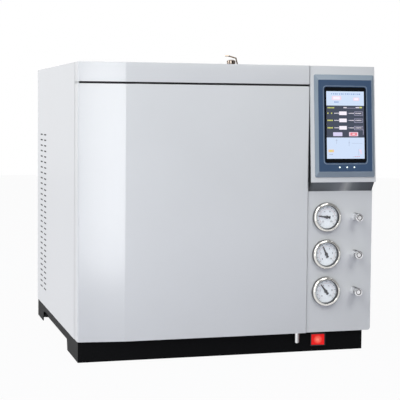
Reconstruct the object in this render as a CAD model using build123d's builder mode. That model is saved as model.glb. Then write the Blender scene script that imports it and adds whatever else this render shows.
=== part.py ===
from build123d import *
import os
from math import atan2, cos, pi, radians, sin

os.makedirs("parts", exist_ok=True)

# ---------------------------------------------------------------- driving dimensions, mm
# Case: its width, depth and height follow from the oven, the column beside it and the bays round it
sheet = 1.5                 # painted steel sheet of the case
column_width = 134.5        # screen and gauge column
door_margin = 74.5          # oven's right wall to the door's right edge
deck_room = 115.0           # from the oven's wool to the lid's top
rear_bay = 209.5            # behind the oven's wool
end_reach = 25.0            # knobs in front of the door face, gas fittings behind the rear panel
feet_height = 1.5           # skirt's clearance from the bench
flange = 14.0               # folded edges of the side panels

# Base chassis
base_height = 39.5
base_inset_left = 1.2
base_inset_right = 13.2
base_set_back = 13.8        # skirt behind the door face
leg_front = 119.0           # solid side of the skirt behind the front corner
leg_rear = 78.0
rail_clear = 22.4           # height of the side rail above the bench
arch_clear = 26.0
arch_from_rear = 156.0
arch_length = 49.0
leg_slope = 6.0             # slant where a leg meets the rail
foot_radius = 13.0
foot_height = 8.0
foot_inset = 19.0
foot_ledge = 34.0           # square ledge over each foot

# Oven door
bevel_width = 87.5
bevel_depth = 11.4
door_lift = 1.0             # shoulder of the lower pivot under the door
return_depth = 36.9         # side return of door and lid
pan_depth = 44.0
corner_radius = 3.0
bracket_width = 40.0         # door's top hinge bracket
bracket_front = 17.0         # behind the door face
bracket_tab_in = 24.0        # tab that bolts it to the oven frame
bracket_tab_tall = 12.0
hinge_in = 6.0              # pivot from the left side
hinge_back = 30.0           # pivot behind the door face
pivot_radius = 3.0
running = 0.05              # radial running clearance of pins and shafts
loose = 0.3                 # clearance of parts that only pass each other
liner_sheet = 1.2
gasket_width = 12.0
latch_in = 17.5             # release button from the door's right edge
latch_back = 8.0
button_radius = 5.0
button_travel = 4.0
tongue_height = 64.0
tongue_width = 8.0
tongue_thick = 4.0
tongue_nose = 6.0           # tongue past the oven frame's front face
latch_case_half = 10.0
latch_case_tall = 46.0
latch_wall = 4.0            # floor and roof of the latch's case
latch_stem = 3.0            # radius of the button's guide stem
collar_tall = 3.0
spring_turns = 5
spring_radius = 4.6
spring_wire = 0.6
liner_in = 22.0             # door's inner sheet from the left side
plug_clear = 6.0            # door's plug to the oven's walls
plug_depth = 10.0
slab_margin = 20.0          # door's wool past the oven's mouth
gasket_margin = 4.0         # gasket's inner edge from the oven's mouth

# Oven
frame_back = 50.0           # oven frame's front face behind the door face
oven_left = 75.0
oven_width = 300.0
oven_floor = 110.0
oven_height = 290.0
oven_depth = 230.0
wool_side = 45.0            # insulation at the sides, top and bottom
wool_back = 47.0
baffle_gap = 33.0           # guard plate in front of the oven's rear wall
guard_hole_radius = 52.0
guard_sides = 24
impeller_radius = 70.0
impeller_width = 16.0
blade_count = 10
shaft_radius = 4.0
heater_radius = 92.0
heater_rod_radius = 3.5
heater_leg_radius = 4.2     # terminals that carry the ring
motor_radius = 44.0
motor_length = 58.0
motor_gap = 9.0
motor_shell = 3.0
rotor_radius = 22.0
hub_radius = 12.0
baffle_inset = 12.0         # guard plate's edges from the oven's walls
fan_clear = 6.0             # impeller in front of the oven's rear wall
port_size = 60.0            # exhaust duct, square
port_in = 50.0              # duct's centre from the oven's left wall
port_down = 50.0            # duct's centre below the oven's ceiling
duct_sheet = 1.0
duct_reach = 16.0           # duct behind the rear panel
flap_pin_radius = 2.0

# Column on its cage
coil_radius = 90.0
coil_thick = 10.0
coil_width = 30.0
coil_back = 150.0           # middle of the coil behind the door face
hanger_width = 12.0
tail_radius = 0.8

# Top deck, injector, detector
injector_in = 38.0          # from the oven's right wall
injector_back = 150.0
injector_block = 48.0       # square heated block
injector_block_tall = 52.0
injector_tower_radius = 9.0
fin_count = 4
fin_reach = 5.0
fin_thick = 2.0
neck_radius = 5.0
neck_reach = 6.0            # neck above and the nut's skirt below the lid's top
nut_radius = 8.8
nut_waist = 6.4
nut_height = 15.0
port_hole_radius = 19.0     # hole in the lid round the septum nut
detector_in = 75.0          # from the oven's left wall
detector_back = 200.0
detector_block = 54.0
detector_block_tall = 34.0
detector_down = 18.0        # below the lid's top
cap_tall = 24.0
cap_radius = 19.0
stem_radius = 5.0
stem_drop = 10.0            # fittings below the oven's ceiling
purge_radius = 1.4

# Lid
lid_height = 36.0
lid_gap = 4.0               # between door and lid
lid_axis_in = 38.0          # hinge axis in front of the rear panel
lid_hinge_in = 105.0        # hinges from the lid's two sides
leaf_half = 16.0
fixed_half = 8.0
lid_axis_down = 6.5         # hinge axis below the lid's top
lid_side_clear = 1.0
strip_gap = 9.0
knuckle_radius = 3.8
lid_pin_radius = 2.0
bumper_in = 45.0             # from the lid's two sides
bumper_radius = 5.0
frame_down = 15.0           # oven frame's top edge below the lid's top

# Control column
column_gap = 1.0
panel_set_back = 4.0        # column's front panel behind the door face
column_gap_below = 1.0      # over the base
wedge_tall = 225.0          # screen's fascia
wedge_undercut = 18.0       # from the fascia's lower edge to where the underside meets the panel
wedge_reach = 12.2          # lower edge of the fascia in front of the door face
fascia_thick = 3.0
wedge_back = 22.0           # back of the screen's body behind the door face
seam = 0.6                  # between a folded return and the panel behind it
screen_proud = 6.0
screen_left_margin = 7.5
screen_right_margin = 2.5
screen_up = 10.0            # bezel's lower edge above the fascia's lower edge
screen_down = 16.0          # bezel's upper edge below the fascia's upper edge
bezel_side = 6.5            # sloped border of the bezel, sides
bezel_end = 10.5            # sloped border, top and bottom
glass_side = 18.75          # window from the bezel's sides
glass_up = 27.5             # window's lower edge above the bezel's lower edge
glass_down = 24.5           # window's upper edge below the bezel's upper edge
screen_case_depth = 30.0

# Gauges and valves
gauge_count = 3
gauge_in = 38.3             # gauges from the column's left edge
gauge_drop = 50.5           # upper gauge below the screen's body
gauge_pitch = 72.8
gauge_radius = 28.8
dial_radius = 22.2
gauge_body_radius = 25.0
gauge_proud = 9.5
gauge_body_depth = 24.0
gauge_stem_radius = 5.5
dial_thick = 0.8
lens_thick = 1.6
lens_seat = 6.0             # lens above the panel's face
lens_radius = 23.4
arbor_radius = 1.0
pointer_length = 16.5
pointer_tail = 7.0
pointer_angles = (83.0, 25.5, 38.0)    # from straight up, anticlockwise seen from the front
valve_in = 38.0             # valves from the right side
knob_radius = 7.8
grip_sides = 24
knob_gap = 2.0
valve_stem_radius = 3.0
valve_stem_reach = 11.0
valve_sleeve = 4.7          # sleeve round the stem where it passes the panel
valve_body_radius = 8.0
manifold_back = 46.0
manifold_thick = 16.0

# Power switch
switch_in = 27.5            # from the column's left edge
switch_height = 24.3
switch_width = 31.0
switch_tall = 25.0
rocker_width = 25.5
rocker_tall = 20.4
rocker_tilt = 8.0           # either side of level

# Electronics and rear
board_width = 280.0
board_height = 300.0
board_back = 170.0
board_low = 150.0
board_post = 12.0
supply_width = 96.0
supply_depth = 160.0
supply_tall = 52.0
supply_from_rear = 48.0
supply_gap = 10.0
fitting_count = 3
fitting_radius = 4.0
fitting_pitch = 28.0
fitting_height = 330.0
fitting_in = 100.0          # first fitting from the right side
fitting_nut = 7.0
fitting_nut_tall = 5.0
inlet_width = 48.0
inlet_height = 27.5
inlet_in = 72.0
inlet_up = 96.0

# Side vents
slot_length = 30.0
slot_height = 3.0
slot_pitch = 12.1
slot_rows = 29
slots_from_rear = (114.0, 61.5)
slot_bottom = 77.7
louvre_length = 36.0
louvre_rise = 10.0          # middle of the rear louvres above the oven's floor

# Sides of the bars that nothing turns on
few_sides = 8
many_sides = 16
full_sides = 48

# ---------------------------------------------------------------- datums worked out
door_width = oven_left + oven_width + door_margin
case_width = door_width + column_gap + column_width
case_depth = frame_back + sheet + oven_depth + wool_back + rear_bay
case_height = oven_floor + oven_height + wool_side + deck_room
door_top = case_height - lid_height - lid_gap
base_width = case_width - base_inset_left - base_inset_right
wedge_drop = case_height - wedge_tall
wedge_foot = wedge_drop - wedge_undercut
screen_width = column_width - screen_left_margin - screen_right_margin
screen_height = wedge_tall - screen_up - screen_down
glass_width = screen_width - 2 * glass_side
glass_height = screen_height - glass_up - glass_down
left = -case_width / 2
right = case_width / 2
face = -case_depth / 2
rear = case_depth / 2
door_left = left
door_right = left + door_width
door_bottom = base_height + door_lift
column_left = door_right + column_gap
frame_face = face + frame_back
frame_rear = frame_face + sheet
lid_bottom = door_top + lid_gap
lid_under = case_height - sheet
panel_face = face + panel_set_back
panel_rear = panel_face + sheet
rear_inner = rear - sheet
oven_x = (left + oven_left, left + oven_left + oven_width)
oven_y = (frame_rear, frame_rear + oven_depth)
oven_z = (oven_floor, oven_floor + oven_height)
oven_mid_x = sum(oven_x) / 2
oven_mid_z = sum(oven_z) / 2
wool_x = (oven_x[0] - wool_side, oven_x[1] + wool_side)
wool_y = (frame_rear, oven_y[1] + wool_back)
wool_z = (oven_z[0] - wool_side, oven_z[1] + wool_side)
deck_z = (wool_z[1], wool_z[1] + sheet)
back_plate_y = (wool_y[1], wool_y[1] + sheet)
duct_x = oven_x[0] + port_in
duct_z = oven_z[1] - port_down
duct_end = rear + duct_reach
injector = (oven_x[1] - injector_in, face + injector_back)
detector = (oven_x[0] + detector_in, face + detector_back)
injector_seat = case_height
detector_top = case_height - detector_down
frame_top = case_height - frame_down
column_floor = base_height + column_gap_below
coil_y = face + coil_back
pivot = (left + hinge_in, face + hinge_back)
latch = (door_right - latch_in, face + latch_back)
gauge_column = column_left + gauge_in
valve_column = right - valve_in
gauge_heights = [wedge_foot - gauge_drop - row * gauge_pitch for row in range(gauge_count)]
slot_columns = [rear - inset for inset in slots_from_rear]
arch = (rear - arch_from_rear, rear - arch_from_rear + arch_length)
wedge_rear = face + wedge_back
return_end = face + frame_back - seam
manifold_y = (face + manifold_back, face + manifold_back + manifold_thick)


def block(x, y, z, mode=Mode.ADD):
    """Rectangular block between the low and high values on each axis."""
    with Locations(((x[0] + x[1]) / 2, (y[0] + y[1]) / 2, (z[0] + z[1]) / 2)):
        Box(x[1] - x[0], y[1] - y[0], z[1] - z[0], mode=mode)


def rod_x(y, z, radius, x, mode=Mode.ADD):
    """Round bar along X."""
    with Locations(((x[0] + x[1]) / 2, y, z)):
        Cylinder(radius, x[1] - x[0], rotation=(0, 90, 0), mode=mode)


def rod_y(x, z, radius, y, mode=Mode.ADD):
    """Round bar along Y."""
    with Locations((x, (y[0] + y[1]) / 2, z)):
        Cylinder(radius, y[1] - y[0], rotation=(90, 0, 0), mode=mode)


def rod_z(x, y, radius, z, mode=Mode.ADD):
    """Round bar along Z."""
    with Locations((x, y, (z[0] + z[1]) / 2)):
        Cylinder(radius, z[1] - z[0], mode=mode)


def bar(start, direction, radius, sides, length, mode=Mode.ADD):
    """Straight bar with a many_sides-sided section; cut out, it clears a bar of the same radius."""
    with BuildSketch(Plane(origin=start, z_dir=direction)) as section:
        RegularPolygon(radius, sides, major_radius=mode == Mode.ADD)
    extrude(section.sketch, amount=length, mode=mode)


def bar_x(y, z, radius, sides, x, mode=Mode.ADD):
    """Many-sided bar along X."""
    bar((x[0], y, z), (1, 0, 0), radius, sides, x[1] - x[0], mode)


def bar_y(x, z, radius, sides, y, mode=Mode.ADD):
    """Many-sided bar along Y."""
    bar((x, y[0], z), (0, 1, 0), radius, sides, y[1] - y[0], mode)


def bar_z(x, y, radius, sides, z, mode=Mode.ADD):
    """Many-sided bar along Z."""
    bar((x, y, z[0]), (0, 0, 1), radius, sides, z[1] - z[0], mode)


def around(middle, size):
    """Low and high value of a span centred on middle."""
    return (middle - size / 2, middle + size / 2)


def save(part, name):
    """Label the finished piece and write its STEP file."""
    part.part.label = name
    export_step(part.part, f"parts/{name}.step")


# ---------------------------------------------------------------- base chassis
base_x = (left + base_inset_left, left + base_inset_left + base_width)
base_y = (face + base_set_back, rear)
base_top = base_height - sheet
switch_at = column_left + switch_in
switch_hole = (switch_width - 2.5, switch_tall - 2.9)

with BuildPart() as base_chassis:
    block(base_x, base_y, (base_top, base_height))
    block(base_x, (base_y[0], base_y[0] + sheet), (feet_height, base_height))
    block(base_x, (base_y[1] - sheet, base_y[1]), (rail_clear, base_height))
    # Side skirts: legs at both ends, a raised rail between them and an arch
    with BuildSketch(Plane.YZ.offset(base_x[0])) as skirt:
        with BuildLine():
            Polyline(
                (base_y[0], feet_height),
                (base_y[0] + leg_front, feet_height),
                (base_y[0] + leg_front + leg_slope, rail_clear),
                (arch[0], rail_clear),
                (arch[0] + leg_slope, arch_clear),
                (arch[1], arch_clear),
                (base_y[1] - leg_rear - leg_slope, rail_clear),
                (base_y[1] - leg_rear, feet_height),
                (base_y[1], feet_height),
                (base_y[1], base_height),
                (base_y[0], base_height),
                close=True,
            )
        make_face()
    extrude(amount=sheet)
    extrude(skirt.sketch.moved(Location((base_width - sheet, 0, 0))), amount=sheet)
    # Inner ledges that carry the feet
    for x in (base_x[0] + foot_inset, base_x[1] - foot_inset):
        for y in (base_y[0] + foot_inset, base_y[1] - foot_inset):
            block(around(x, foot_ledge), around(y, foot_ledge), (foot_height, foot_height + sheet))
            block(around(x, foot_ledge), around(y, sheet), (foot_height + sheet, base_top))
    # Window of the power switch and the hole of the door's lower pivot
    block(
        around(switch_at, switch_hole[0]),
        (base_y[0] - 1, base_y[0] + sheet + 1),
        around(switch_height, switch_hole[1]),
        Mode.SUBTRACT,
    )
    rod_z(*pivot, pivot_radius + running, (base_top - 1, base_height + 1), Mode.SUBTRACT)
    edges = base_chassis.edges().filter_by(Axis.Z)
    fillet(edges.group_by(Axis.Y)[0].sort_by(Axis.X)[0], sheet)
save(base_chassis, "base_chassis")

with BuildPart() as rubber_feet:
    for x in (base_x[0] + foot_inset, base_x[1] - foot_inset):
        for y in (base_y[0] + foot_inset, base_y[1] - foot_inset):
            bar_z(x, y, foot_radius, many_sides, (0, foot_height))
save(rubber_feet, "rubber_feet")

# ---------------------------------------------------------------- case panels
side_start = frame_face

with BuildPart() as left_side_panel:
    block((left, left + sheet), (side_start, rear_inner), (base_height, case_height))
    block((left + sheet, left + flange), (frame_rear, rear_inner), (base_height, base_height + sheet))
    with BuildSketch(Plane.YZ.offset(left - 1)):
        for column in slot_columns:
            with Locations((column, slot_bottom + slot_pitch * (slot_rows - 1) / 2)):
                with GridLocations(slot_length, slot_pitch, 1, slot_rows):
                    Rectangle(slot_length, slot_height)
    extrude(amount=sheet + 2, mode=Mode.SUBTRACT)
save(left_side_panel, "left_side_panel")

right_slot_rows = 12
with BuildPart() as right_side_panel:
    block((right - sheet, right), (side_start, rear_inner), (base_height, case_height))
    block((column_left, right - sheet), (side_start, rear_inner), (lid_under, case_height))
    block(
        (right - flange - sheet, right - sheet),
        (side_start, rear_inner),
        (base_height, base_height + sheet),
    )
    with BuildSketch(Plane.YZ.offset(right - sheet - 1)):
        for column in slot_columns:
            with Locations((column, slot_bottom + slot_pitch * (slot_rows - 1) / 2)):
                with GridLocations(slot_length, slot_pitch, 1, right_slot_rows):
                    Rectangle(slot_length, slot_height)
    extrude(amount=sheet + 2, mode=Mode.SUBTRACT)
save(right_side_panel, "right_side_panel")

fitting_x = [right - fitting_in + fitting_pitch * index for index in range(fitting_count)]
inlet_x = right - inlet_in
inlet_z = inlet_up
strip_front = rear - lid_axis_in + strip_gap

with BuildPart() as rear_panel:
    block((left, right), (rear_inner, rear), (base_height, case_height))
    block((left + sheet, column_left - 0.5), (strip_front, rear_inner), (lid_under, case_height))
    block(
        around(duct_x, port_size),
        (rear_inner - 1, rear + 1),
        around(duct_z, port_size),
        Mode.SUBTRACT,
    )
    for x in fitting_x:
        bar_y(x, fitting_height, fitting_radius, few_sides, (rear_inner - 1, rear + 1), Mode.SUBTRACT)
    block(
        around(inlet_x, inlet_width - 20.0),
        (rear_inner - 1, rear + 1),
        around(inlet_z, inlet_height - 3.0),
        Mode.SUBTRACT,
    )
    # Louvres below the oven's fan motor
    with BuildSketch(Plane.XZ.offset(-rear - 1)):
        with Locations((oven_mid_x, oven_floor + louvre_rise)):
            with GridLocations(louvre_length + 12.0, slot_pitch, 3, 6):
                Rectangle(louvre_length, slot_height)
    extrude(amount=sheet + 2, mode=Mode.SUBTRACT)
save(rear_panel, "rear_panel")

with BuildPart() as divider_wall:
    block((column_left, column_left + sheet), (wedge_rear, rear_inner), (base_height, lid_under))
save(divider_wall, "divider_wall")

# ---------------------------------------------------------------- column front and screen
tilt = atan2(panel_set_back + wedge_reach, wedge_tall)
column_mid = (column_left + right) / 2
fascia_plane = Plane(
    origin=(column_mid, face - wedge_reach, wedge_drop),
    x_dir=(1, 0, 0),
    z_dir=(0, -cos(tilt), sin(tilt)),
)
screen_at = (
    column_width / 2 - screen_right_margin - screen_width / 2,
    screen_up + screen_height / 2,
)
glass_at = (screen_at[0], screen_up + glass_up + glass_height / 2)
case_hole = (glass_width + 14.0, glass_height + 24.0)

with BuildPart() as column_front_panel:
    block((column_left, right), (panel_face, panel_rear), (column_floor, wedge_drop))
    block((right - sheet, right), (panel_rear, return_end), (column_floor, wedge_drop))
    block((column_left, column_left + sheet), (panel_rear, wedge_rear), (column_floor, wedge_drop))
    fillet(column_front_panel.edges().filter_by(Axis.Y).group_by(Axis.Z)[0].sort_by(Axis.X)[-1], 5.0)
    for height in gauge_heights:
        through = (panel_face - 1, panel_rear + 1)
        bar_y(gauge_column, height, gauge_body_radius + loose, many_sides, through, Mode.SUBTRACT)
        bar_y(valve_column, height, valve_sleeve + loose, few_sides, through, Mode.SUBTRACT)
save(column_front_panel, "column_front_panel")

with BuildPart() as screen_fascia:
    # Sloping face sheet with its window, a top flange and a return at the right side
    with BuildSketch(Plane.YZ.offset(column_left)):
        with BuildLine():
            Polyline(
                (face - wedge_reach, wedge_drop),
                (panel_face, case_height),
                (return_end, case_height),
                (return_end, lid_under),
                (panel_face + fascia_thick, lid_under),
                (face - wedge_reach + fascia_thick, wedge_drop),
                close=True,
            )
        make_face()
    extrude(amount=column_width)
    with BuildSketch(Plane.YZ.offset(right - sheet)):
        with BuildLine():
            Polyline(
                (face - wedge_reach + 1.0, wedge_drop),
                (return_end, wedge_drop),
                (return_end, case_height),
                (panel_face + 1.0, case_height),
                close=True,
            )
        make_face()
    extrude(amount=sheet)
    with BuildSketch(fascia_plane.offset(1.0)):
        with Locations(screen_at):
            Rectangle(case_hole[0] + 2 * loose, case_hole[1] + 2 * loose)
    extrude(amount=-20, mode=Mode.SUBTRACT)
    front_edges = screen_fascia.edges().group_by(Axis.Y)[0]
    fillet(front_edges, 0.8)
save(screen_fascia, "screen_fascia")

with BuildPart() as screen_wedge:
    # Body behind the fascia: follows its slope, undercut below down to the panel
    with BuildSketch(Plane.YZ.offset(column_left + loose)):
        with BuildLine():
            Polyline(
                (panel_face, wedge_foot),
                (face - wedge_reach + fascia_thick, wedge_drop),
                (panel_face + fascia_thick, lid_under),
                (wedge_rear, lid_under),
                (wedge_rear, wedge_drop),
                (panel_face, wedge_drop),
                close=True,
            )
        make_face()
    extrude(amount=column_width - sheet - 2 * loose)
    with BuildSketch(fascia_plane.offset(1.0)):
        with Locations(screen_at):
            Rectangle(case_hole[0] + 2 * loose, case_hole[1] + 2 * loose)
    extrude(amount=-60, mode=Mode.SUBTRACT)
save(screen_wedge, "screen_wedge")

with BuildPart() as screen_bezel:
    # Frame with sloped borders in front, moulded case behind
    with BuildSketch(fascia_plane):
        with Locations(screen_at):
            RectangleRounded(screen_width, screen_height, 3.0)
    with BuildSketch(fascia_plane.offset(screen_proud)):
        with Locations(screen_at):
            RectangleRounded(screen_width - 2 * bezel_side, screen_height - 2 * bezel_end, 2.0)
    loft(ruled=True)
    with BuildSketch(fascia_plane):
        with Locations(screen_at):
            RectangleRounded(*case_hole, 4.0)
    extrude(amount=-screen_case_depth)
    # Recess of the glass
    with BuildSketch(fascia_plane.offset(screen_proud - 1.4)):
        with Locations(glass_at):
            RectangleRounded(glass_width, glass_height, 5.0)
    extrude(amount=5, mode=Mode.SUBTRACT)
save(screen_bezel, "screen_bezel")

with BuildPart() as screen_glass:
    with BuildSketch(fascia_plane.offset(screen_proud - 1.4)):
        with Locations(glass_at):
            RectangleRounded(glass_width - 0.4, glass_height - 0.4, 4.8)
    extrude(amount=1.0)
save(screen_glass, "screen_glass")

# ---------------------------------------------------------------- oven door
def front_plan(height, back, inset=0.0):
    """Plan outline of door and lid: straight front, bevelled left corner, rounded edges."""
    with BuildSketch(Plane.XY.offset(height)) as plan:
        with BuildLine():
            Polyline(
                (door_left, back),
                (door_left, face + bevel_depth),
                (door_left + bevel_width, face),
                (door_right, face),
                (door_right, back),
                close=True,
            )
        make_face()
        front_corners = plan.vertices().sort_by(Axis.Y)[0:3]
        fillet(front_corners, corner_radius)
        if inset:
            offset(amount=-inset, kind=Kind.INTERSECTION, mode=Mode.REPLACE)
    return plan.sketch


return_back = face + bevel_depth + return_depth
pan_back = face + pan_depth
tongue_z = (tongue_height, tongue_height + tongue_thick)

with BuildPart() as door_shell:
    extrude(front_plan(door_bottom, return_back), amount=door_top - door_bottom)
    extrude(
        front_plan(door_bottom + sheet, return_back + 10, sheet),
        amount=door_top - door_bottom - 2 * sheet,
        mode=Mode.SUBTRACT,
    )
    block(
        (door_left + sheet, door_right + 1),
        (pan_back, return_back + 1),
        (door_bottom - 1, door_top + 1),
        Mode.SUBTRACT,
    )
    rod_z(*pivot, pivot_radius + running, (door_bottom - 1, door_top + 1), Mode.SUBTRACT)
    button_hole_z = (door_bottom - 1, door_bottom + sheet + 1)
    bar_z(*latch, button_radius + loose, many_sides, button_hole_z, Mode.SUBTRACT)
save(door_shell, "door_shell")

liner_x = (door_left + liner_in, door_right - sheet)
liner_z = (door_bottom + sheet, door_top - sheet)
liner_back = pan_back + liner_sheet
gasket_back = frame_face

with BuildPart() as door_liner:
    # Inner sheet with a pressed-out plug that enters the oven's mouth
    block(liner_x, (pan_back, liner_back), liner_z)
    plug_base = Plane(origin=(oven_mid_x, liner_back, oven_mid_z), x_dir=(-1, 0, 0), z_dir=(0, 1, 0))
    plug_size = (oven_width - 2 * plug_clear, oven_height - 2 * plug_clear)
    with BuildSketch(plug_base):
        RectangleRounded(*plug_size, 12.0)
    extrude(amount=plug_depth + gasket_back - liner_back, taper=12)
    with BuildSketch(plug_base.offset(-liner_sheet)):
        RectangleRounded(plug_size[0] - 2 * liner_sheet, plug_size[1] - 2 * liner_sheet, 11.0)
    extrude(amount=plug_depth + gasket_back - liner_back, taper=12, mode=Mode.SUBTRACT)
    block(
        around(latch[0], tongue_width + 4.0),
        (pan_back - 1, liner_back + 1),
        (tongue_z[0] - 3.0, tongue_z[1] + button_travel + 3.0),
        Mode.SUBTRACT,
    )
save(door_liner, "door_liner")

with BuildPart() as door_insulation:
    # Wool slab that follows the door's bevel
    extrude(
        front_plan(oven_z[0] - slab_margin, pan_back + sheet, sheet),
        amount=oven_height + 2 * slab_margin,
    )
    block(
        (oven_x[0] - slab_margin, oven_x[1] + slab_margin),
        (face, pan_back),
        (oven_z[0] - slab_margin, oven_z[1] + slab_margin),
        Mode.INTERSECT,
    )
save(door_insulation, "door_insulation")

with BuildPart() as door_gasket:
    gasket_plane = Plane(origin=(oven_mid_x, liner_back, oven_mid_z), x_dir=(-1, 0, 0), z_dir=(0, 1, 0))
    gasket_grow = 2 * (gasket_width + gasket_margin)
    gasket_size = (oven_width + gasket_grow, oven_height + gasket_grow)
    with BuildSketch(gasket_plane):
        RectangleRounded(*gasket_size, 20.0)
        RectangleRounded(
            gasket_size[0] - 2 * gasket_width,
            gasket_size[1] - 2 * gasket_width,
            8.0,
            mode=Mode.SUBTRACT,
        )
    extrude(amount=gasket_back - liner_back)
save(door_gasket, "door_gasket")

# Hinge: lower pin stands on the base, upper pin hangs in a bracket over the door
bracket_z = (door_top + loose, lid_bottom - loose)
with BuildPart() as hinge_bracket:
    block((left, left + bracket_width), (face + bracket_front, frame_face), bracket_z)
    block((left, left + sheet), (side_start - seam, frame_face), bracket_z, Mode.SUBTRACT)
    rod_z(*pivot, pivot_radius, (bracket_z[0] - 1, bracket_z[1] + 1), Mode.SUBTRACT)
    block(
        (left + bracket_tab_in, left + bracket_width),
        (frame_face - 3.0, frame_face),
        (bracket_z[0], bracket_z[1] + bracket_tab_tall),
    )
    fillet(hinge_bracket.edges().filter_by(Axis.Z).group_by(Axis.Y)[0], 3.0)
save(hinge_bracket, "door_hinge_bracket")

with BuildPart() as door_hinge_pins:
    rod_z(*pivot, pivot_radius, (base_top, door_bottom + 14.0))
    bar_z(*pivot, pivot_radius + 1.5, few_sides, (base_height, door_bottom))
    rod_z(*pivot, pivot_radius, (door_top - 14.0, bracket_z[1]))
    bar_z(*pivot, pivot_radius + 1.0, few_sides, (bracket_z[1], bracket_z[1] + 2.0))
save(door_hinge_pins, "door_hinge_pins")

# Release button in its case at the door's lower right corner
case_floor = door_bottom + sheet
case_top = case_floor + latch_case_tall
collar_z = (case_floor + latch_wall, case_floor + latch_wall + collar_tall)
with BuildPart() as latch_case:
    block(
        around(latch[0], 2 * latch_case_half),
        (face + sheet, latch[1] + latch_case_half),
        (door_bottom + sheet, case_top),
    )
    block(
        around(latch[0], 2 * latch_case_half - 3.0),
        (face + sheet - 1, latch[1] + latch_case_half - 1.5),
        (door_bottom + sheet + latch_wall, case_top - latch_wall),
        Mode.SUBTRACT,
    )
    rod_z(*latch, button_radius + running, (door_bottom, collar_z[0] + 1), Mode.SUBTRACT)
    rod_z(*latch, latch_stem + running, (case_top - latch_wall - 1, case_top + 1), Mode.SUBTRACT)
    # Slot that the tongue's arm rises in
    block(
        around(latch[0], tongue_width + 2 * loose),
        (latch[1], latch[1] + latch_case_half + 1),
        (tongue_z[0] - 1.0, tongue_z[1] + button_travel + 1.0),
        Mode.SUBTRACT,
    )
save(latch_case, "latch_case")

with BuildPart() as latch_button:
    rod_z(*latch, button_radius, (base_height - 19.0, collar_z[1]))
    bar_z(*latch, button_radius + 0.9, few_sides, collar_z)
    rod_z(*latch, latch_stem, (collar_z[1], case_top + 3.0))
    block(around(latch[0], tongue_width), (latch[1], frame_face + tongue_nose), tongue_z)
    chamfer(latch_button.edges().filter_by(GeomType.CIRCLE).group_by(Axis.Z)[0], 1.2)
save(latch_button, "latch_button")

spring_base = tongue_z[1] + spring_wire
spring_rise = case_top - latch_wall - spring_wire - spring_base
turn_corners = 8
with BuildPart() as latch_spring:
    # Wound from straight chords with a square section
    steps = range(spring_turns * turn_corners + 1)
    with BuildLine() as winding:
        Polyline([
            (
                latch[0] + spring_radius * cos(2 * pi * step / turn_corners),
                latch[1] + spring_radius * sin(2 * pi * step / turn_corners),
                spring_base + spring_rise * step / steps[-1],
            )
            for step in steps
        ])
    with BuildSketch(Plane(origin=winding.line @ 0, z_dir=winding.line % 0)):
        Rectangle(1.6 * spring_wire, 1.6 * spring_wire)
    sweep(path=winding.line, transition=Transition.RIGHT)
save(latch_spring, "latch_spring")

# ---------------------------------------------------------------- oven
with BuildPart() as oven_frame:
    block((left + sheet, column_left), (frame_face, frame_rear), (base_height, frame_top))
    block((left + sheet, column_left), (frame_rear, frame_rear + 18.0), (frame_top - sheet, frame_top))
    with BuildSketch(Plane.XZ.offset(-frame_rear - 1)):
        with Locations((oven_mid_x, oven_mid_z)):
            RectangleRounded(oven_width, oven_height, 12.0)
        with Locations((latch[0], (tongue_z[0] + tongue_z[1] + button_travel) / 2)):
            Rectangle(tongue_width + 4.0, tongue_thick + button_travel + 4.0)
    extrude(amount=sheet + 2, mode=Mode.SUBTRACT)
save(oven_frame, "oven_frame")

heater_y = oven_y[1] - 12.0
heater_leg_x = (oven_mid_x - 20.0, oven_mid_x + 20.0)
heater_leg_z = oven_mid_z - (heater_radius**2 - 20.0**2) ** 0.5
wall_holes = shaft_radius + 2.0

with BuildPart() as oven_liner:
    block(
        (oven_x[0] - liner_sheet, oven_x[1] + liner_sheet),
        (oven_y[0], oven_y[1] + liner_sheet),
        (oven_z[0] - liner_sheet, oven_z[1] + liner_sheet),
    )
    block(oven_x, (oven_y[0] - 1, oven_y[1]), oven_z, Mode.SUBTRACT)
    back_cut = (oven_y[1] - 1, oven_y[1] + 5)
    bar_y(oven_mid_x, oven_mid_z, wall_holes, few_sides, back_cut, Mode.SUBTRACT)
    for x in heater_leg_x:
        bar_y(x, heater_leg_z, heater_leg_radius + loose, few_sides, back_cut, Mode.SUBTRACT)
    block(
        around(duct_x, port_size - 2 * duct_sheet),
        back_cut,
        around(duct_z, port_size - 2 * duct_sheet),
        Mode.SUBTRACT,
    )
    for x, y in (injector, detector):
        bar_z(x, y, stem_radius + loose, few_sides, (oven_z[1] - 1, oven_z[1] + 5), Mode.SUBTRACT)
save(oven_liner, "oven_liner")

with BuildPart() as oven_insulation:
    block(wool_x, wool_y, wool_z)
    block(
        (oven_x[0] - liner_sheet, oven_x[1] + liner_sheet),
        (wool_y[0] - 1, oven_y[1] + liner_sheet),
        (oven_z[0] - liner_sheet, oven_z[1] + liner_sheet),
        Mode.SUBTRACT,
    )
    wool_cut = (oven_y[1], wool_y[1] + 1)
    bar_y(oven_mid_x, oven_mid_z, wall_holes, few_sides, wool_cut, Mode.SUBTRACT)
    for x in heater_leg_x:
        bar_y(x, heater_leg_z, heater_leg_radius + loose, few_sides, wool_cut, Mode.SUBTRACT)
    block(around(duct_x, port_size), wool_cut, around(duct_z, port_size), Mode.SUBTRACT)
    for x, y in (injector, detector):
        bar_z(x, y, stem_radius + loose, few_sides, (oven_z[1], wool_z[1] + 1), Mode.SUBTRACT)
save(oven_insulation, "oven_insulation")

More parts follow.
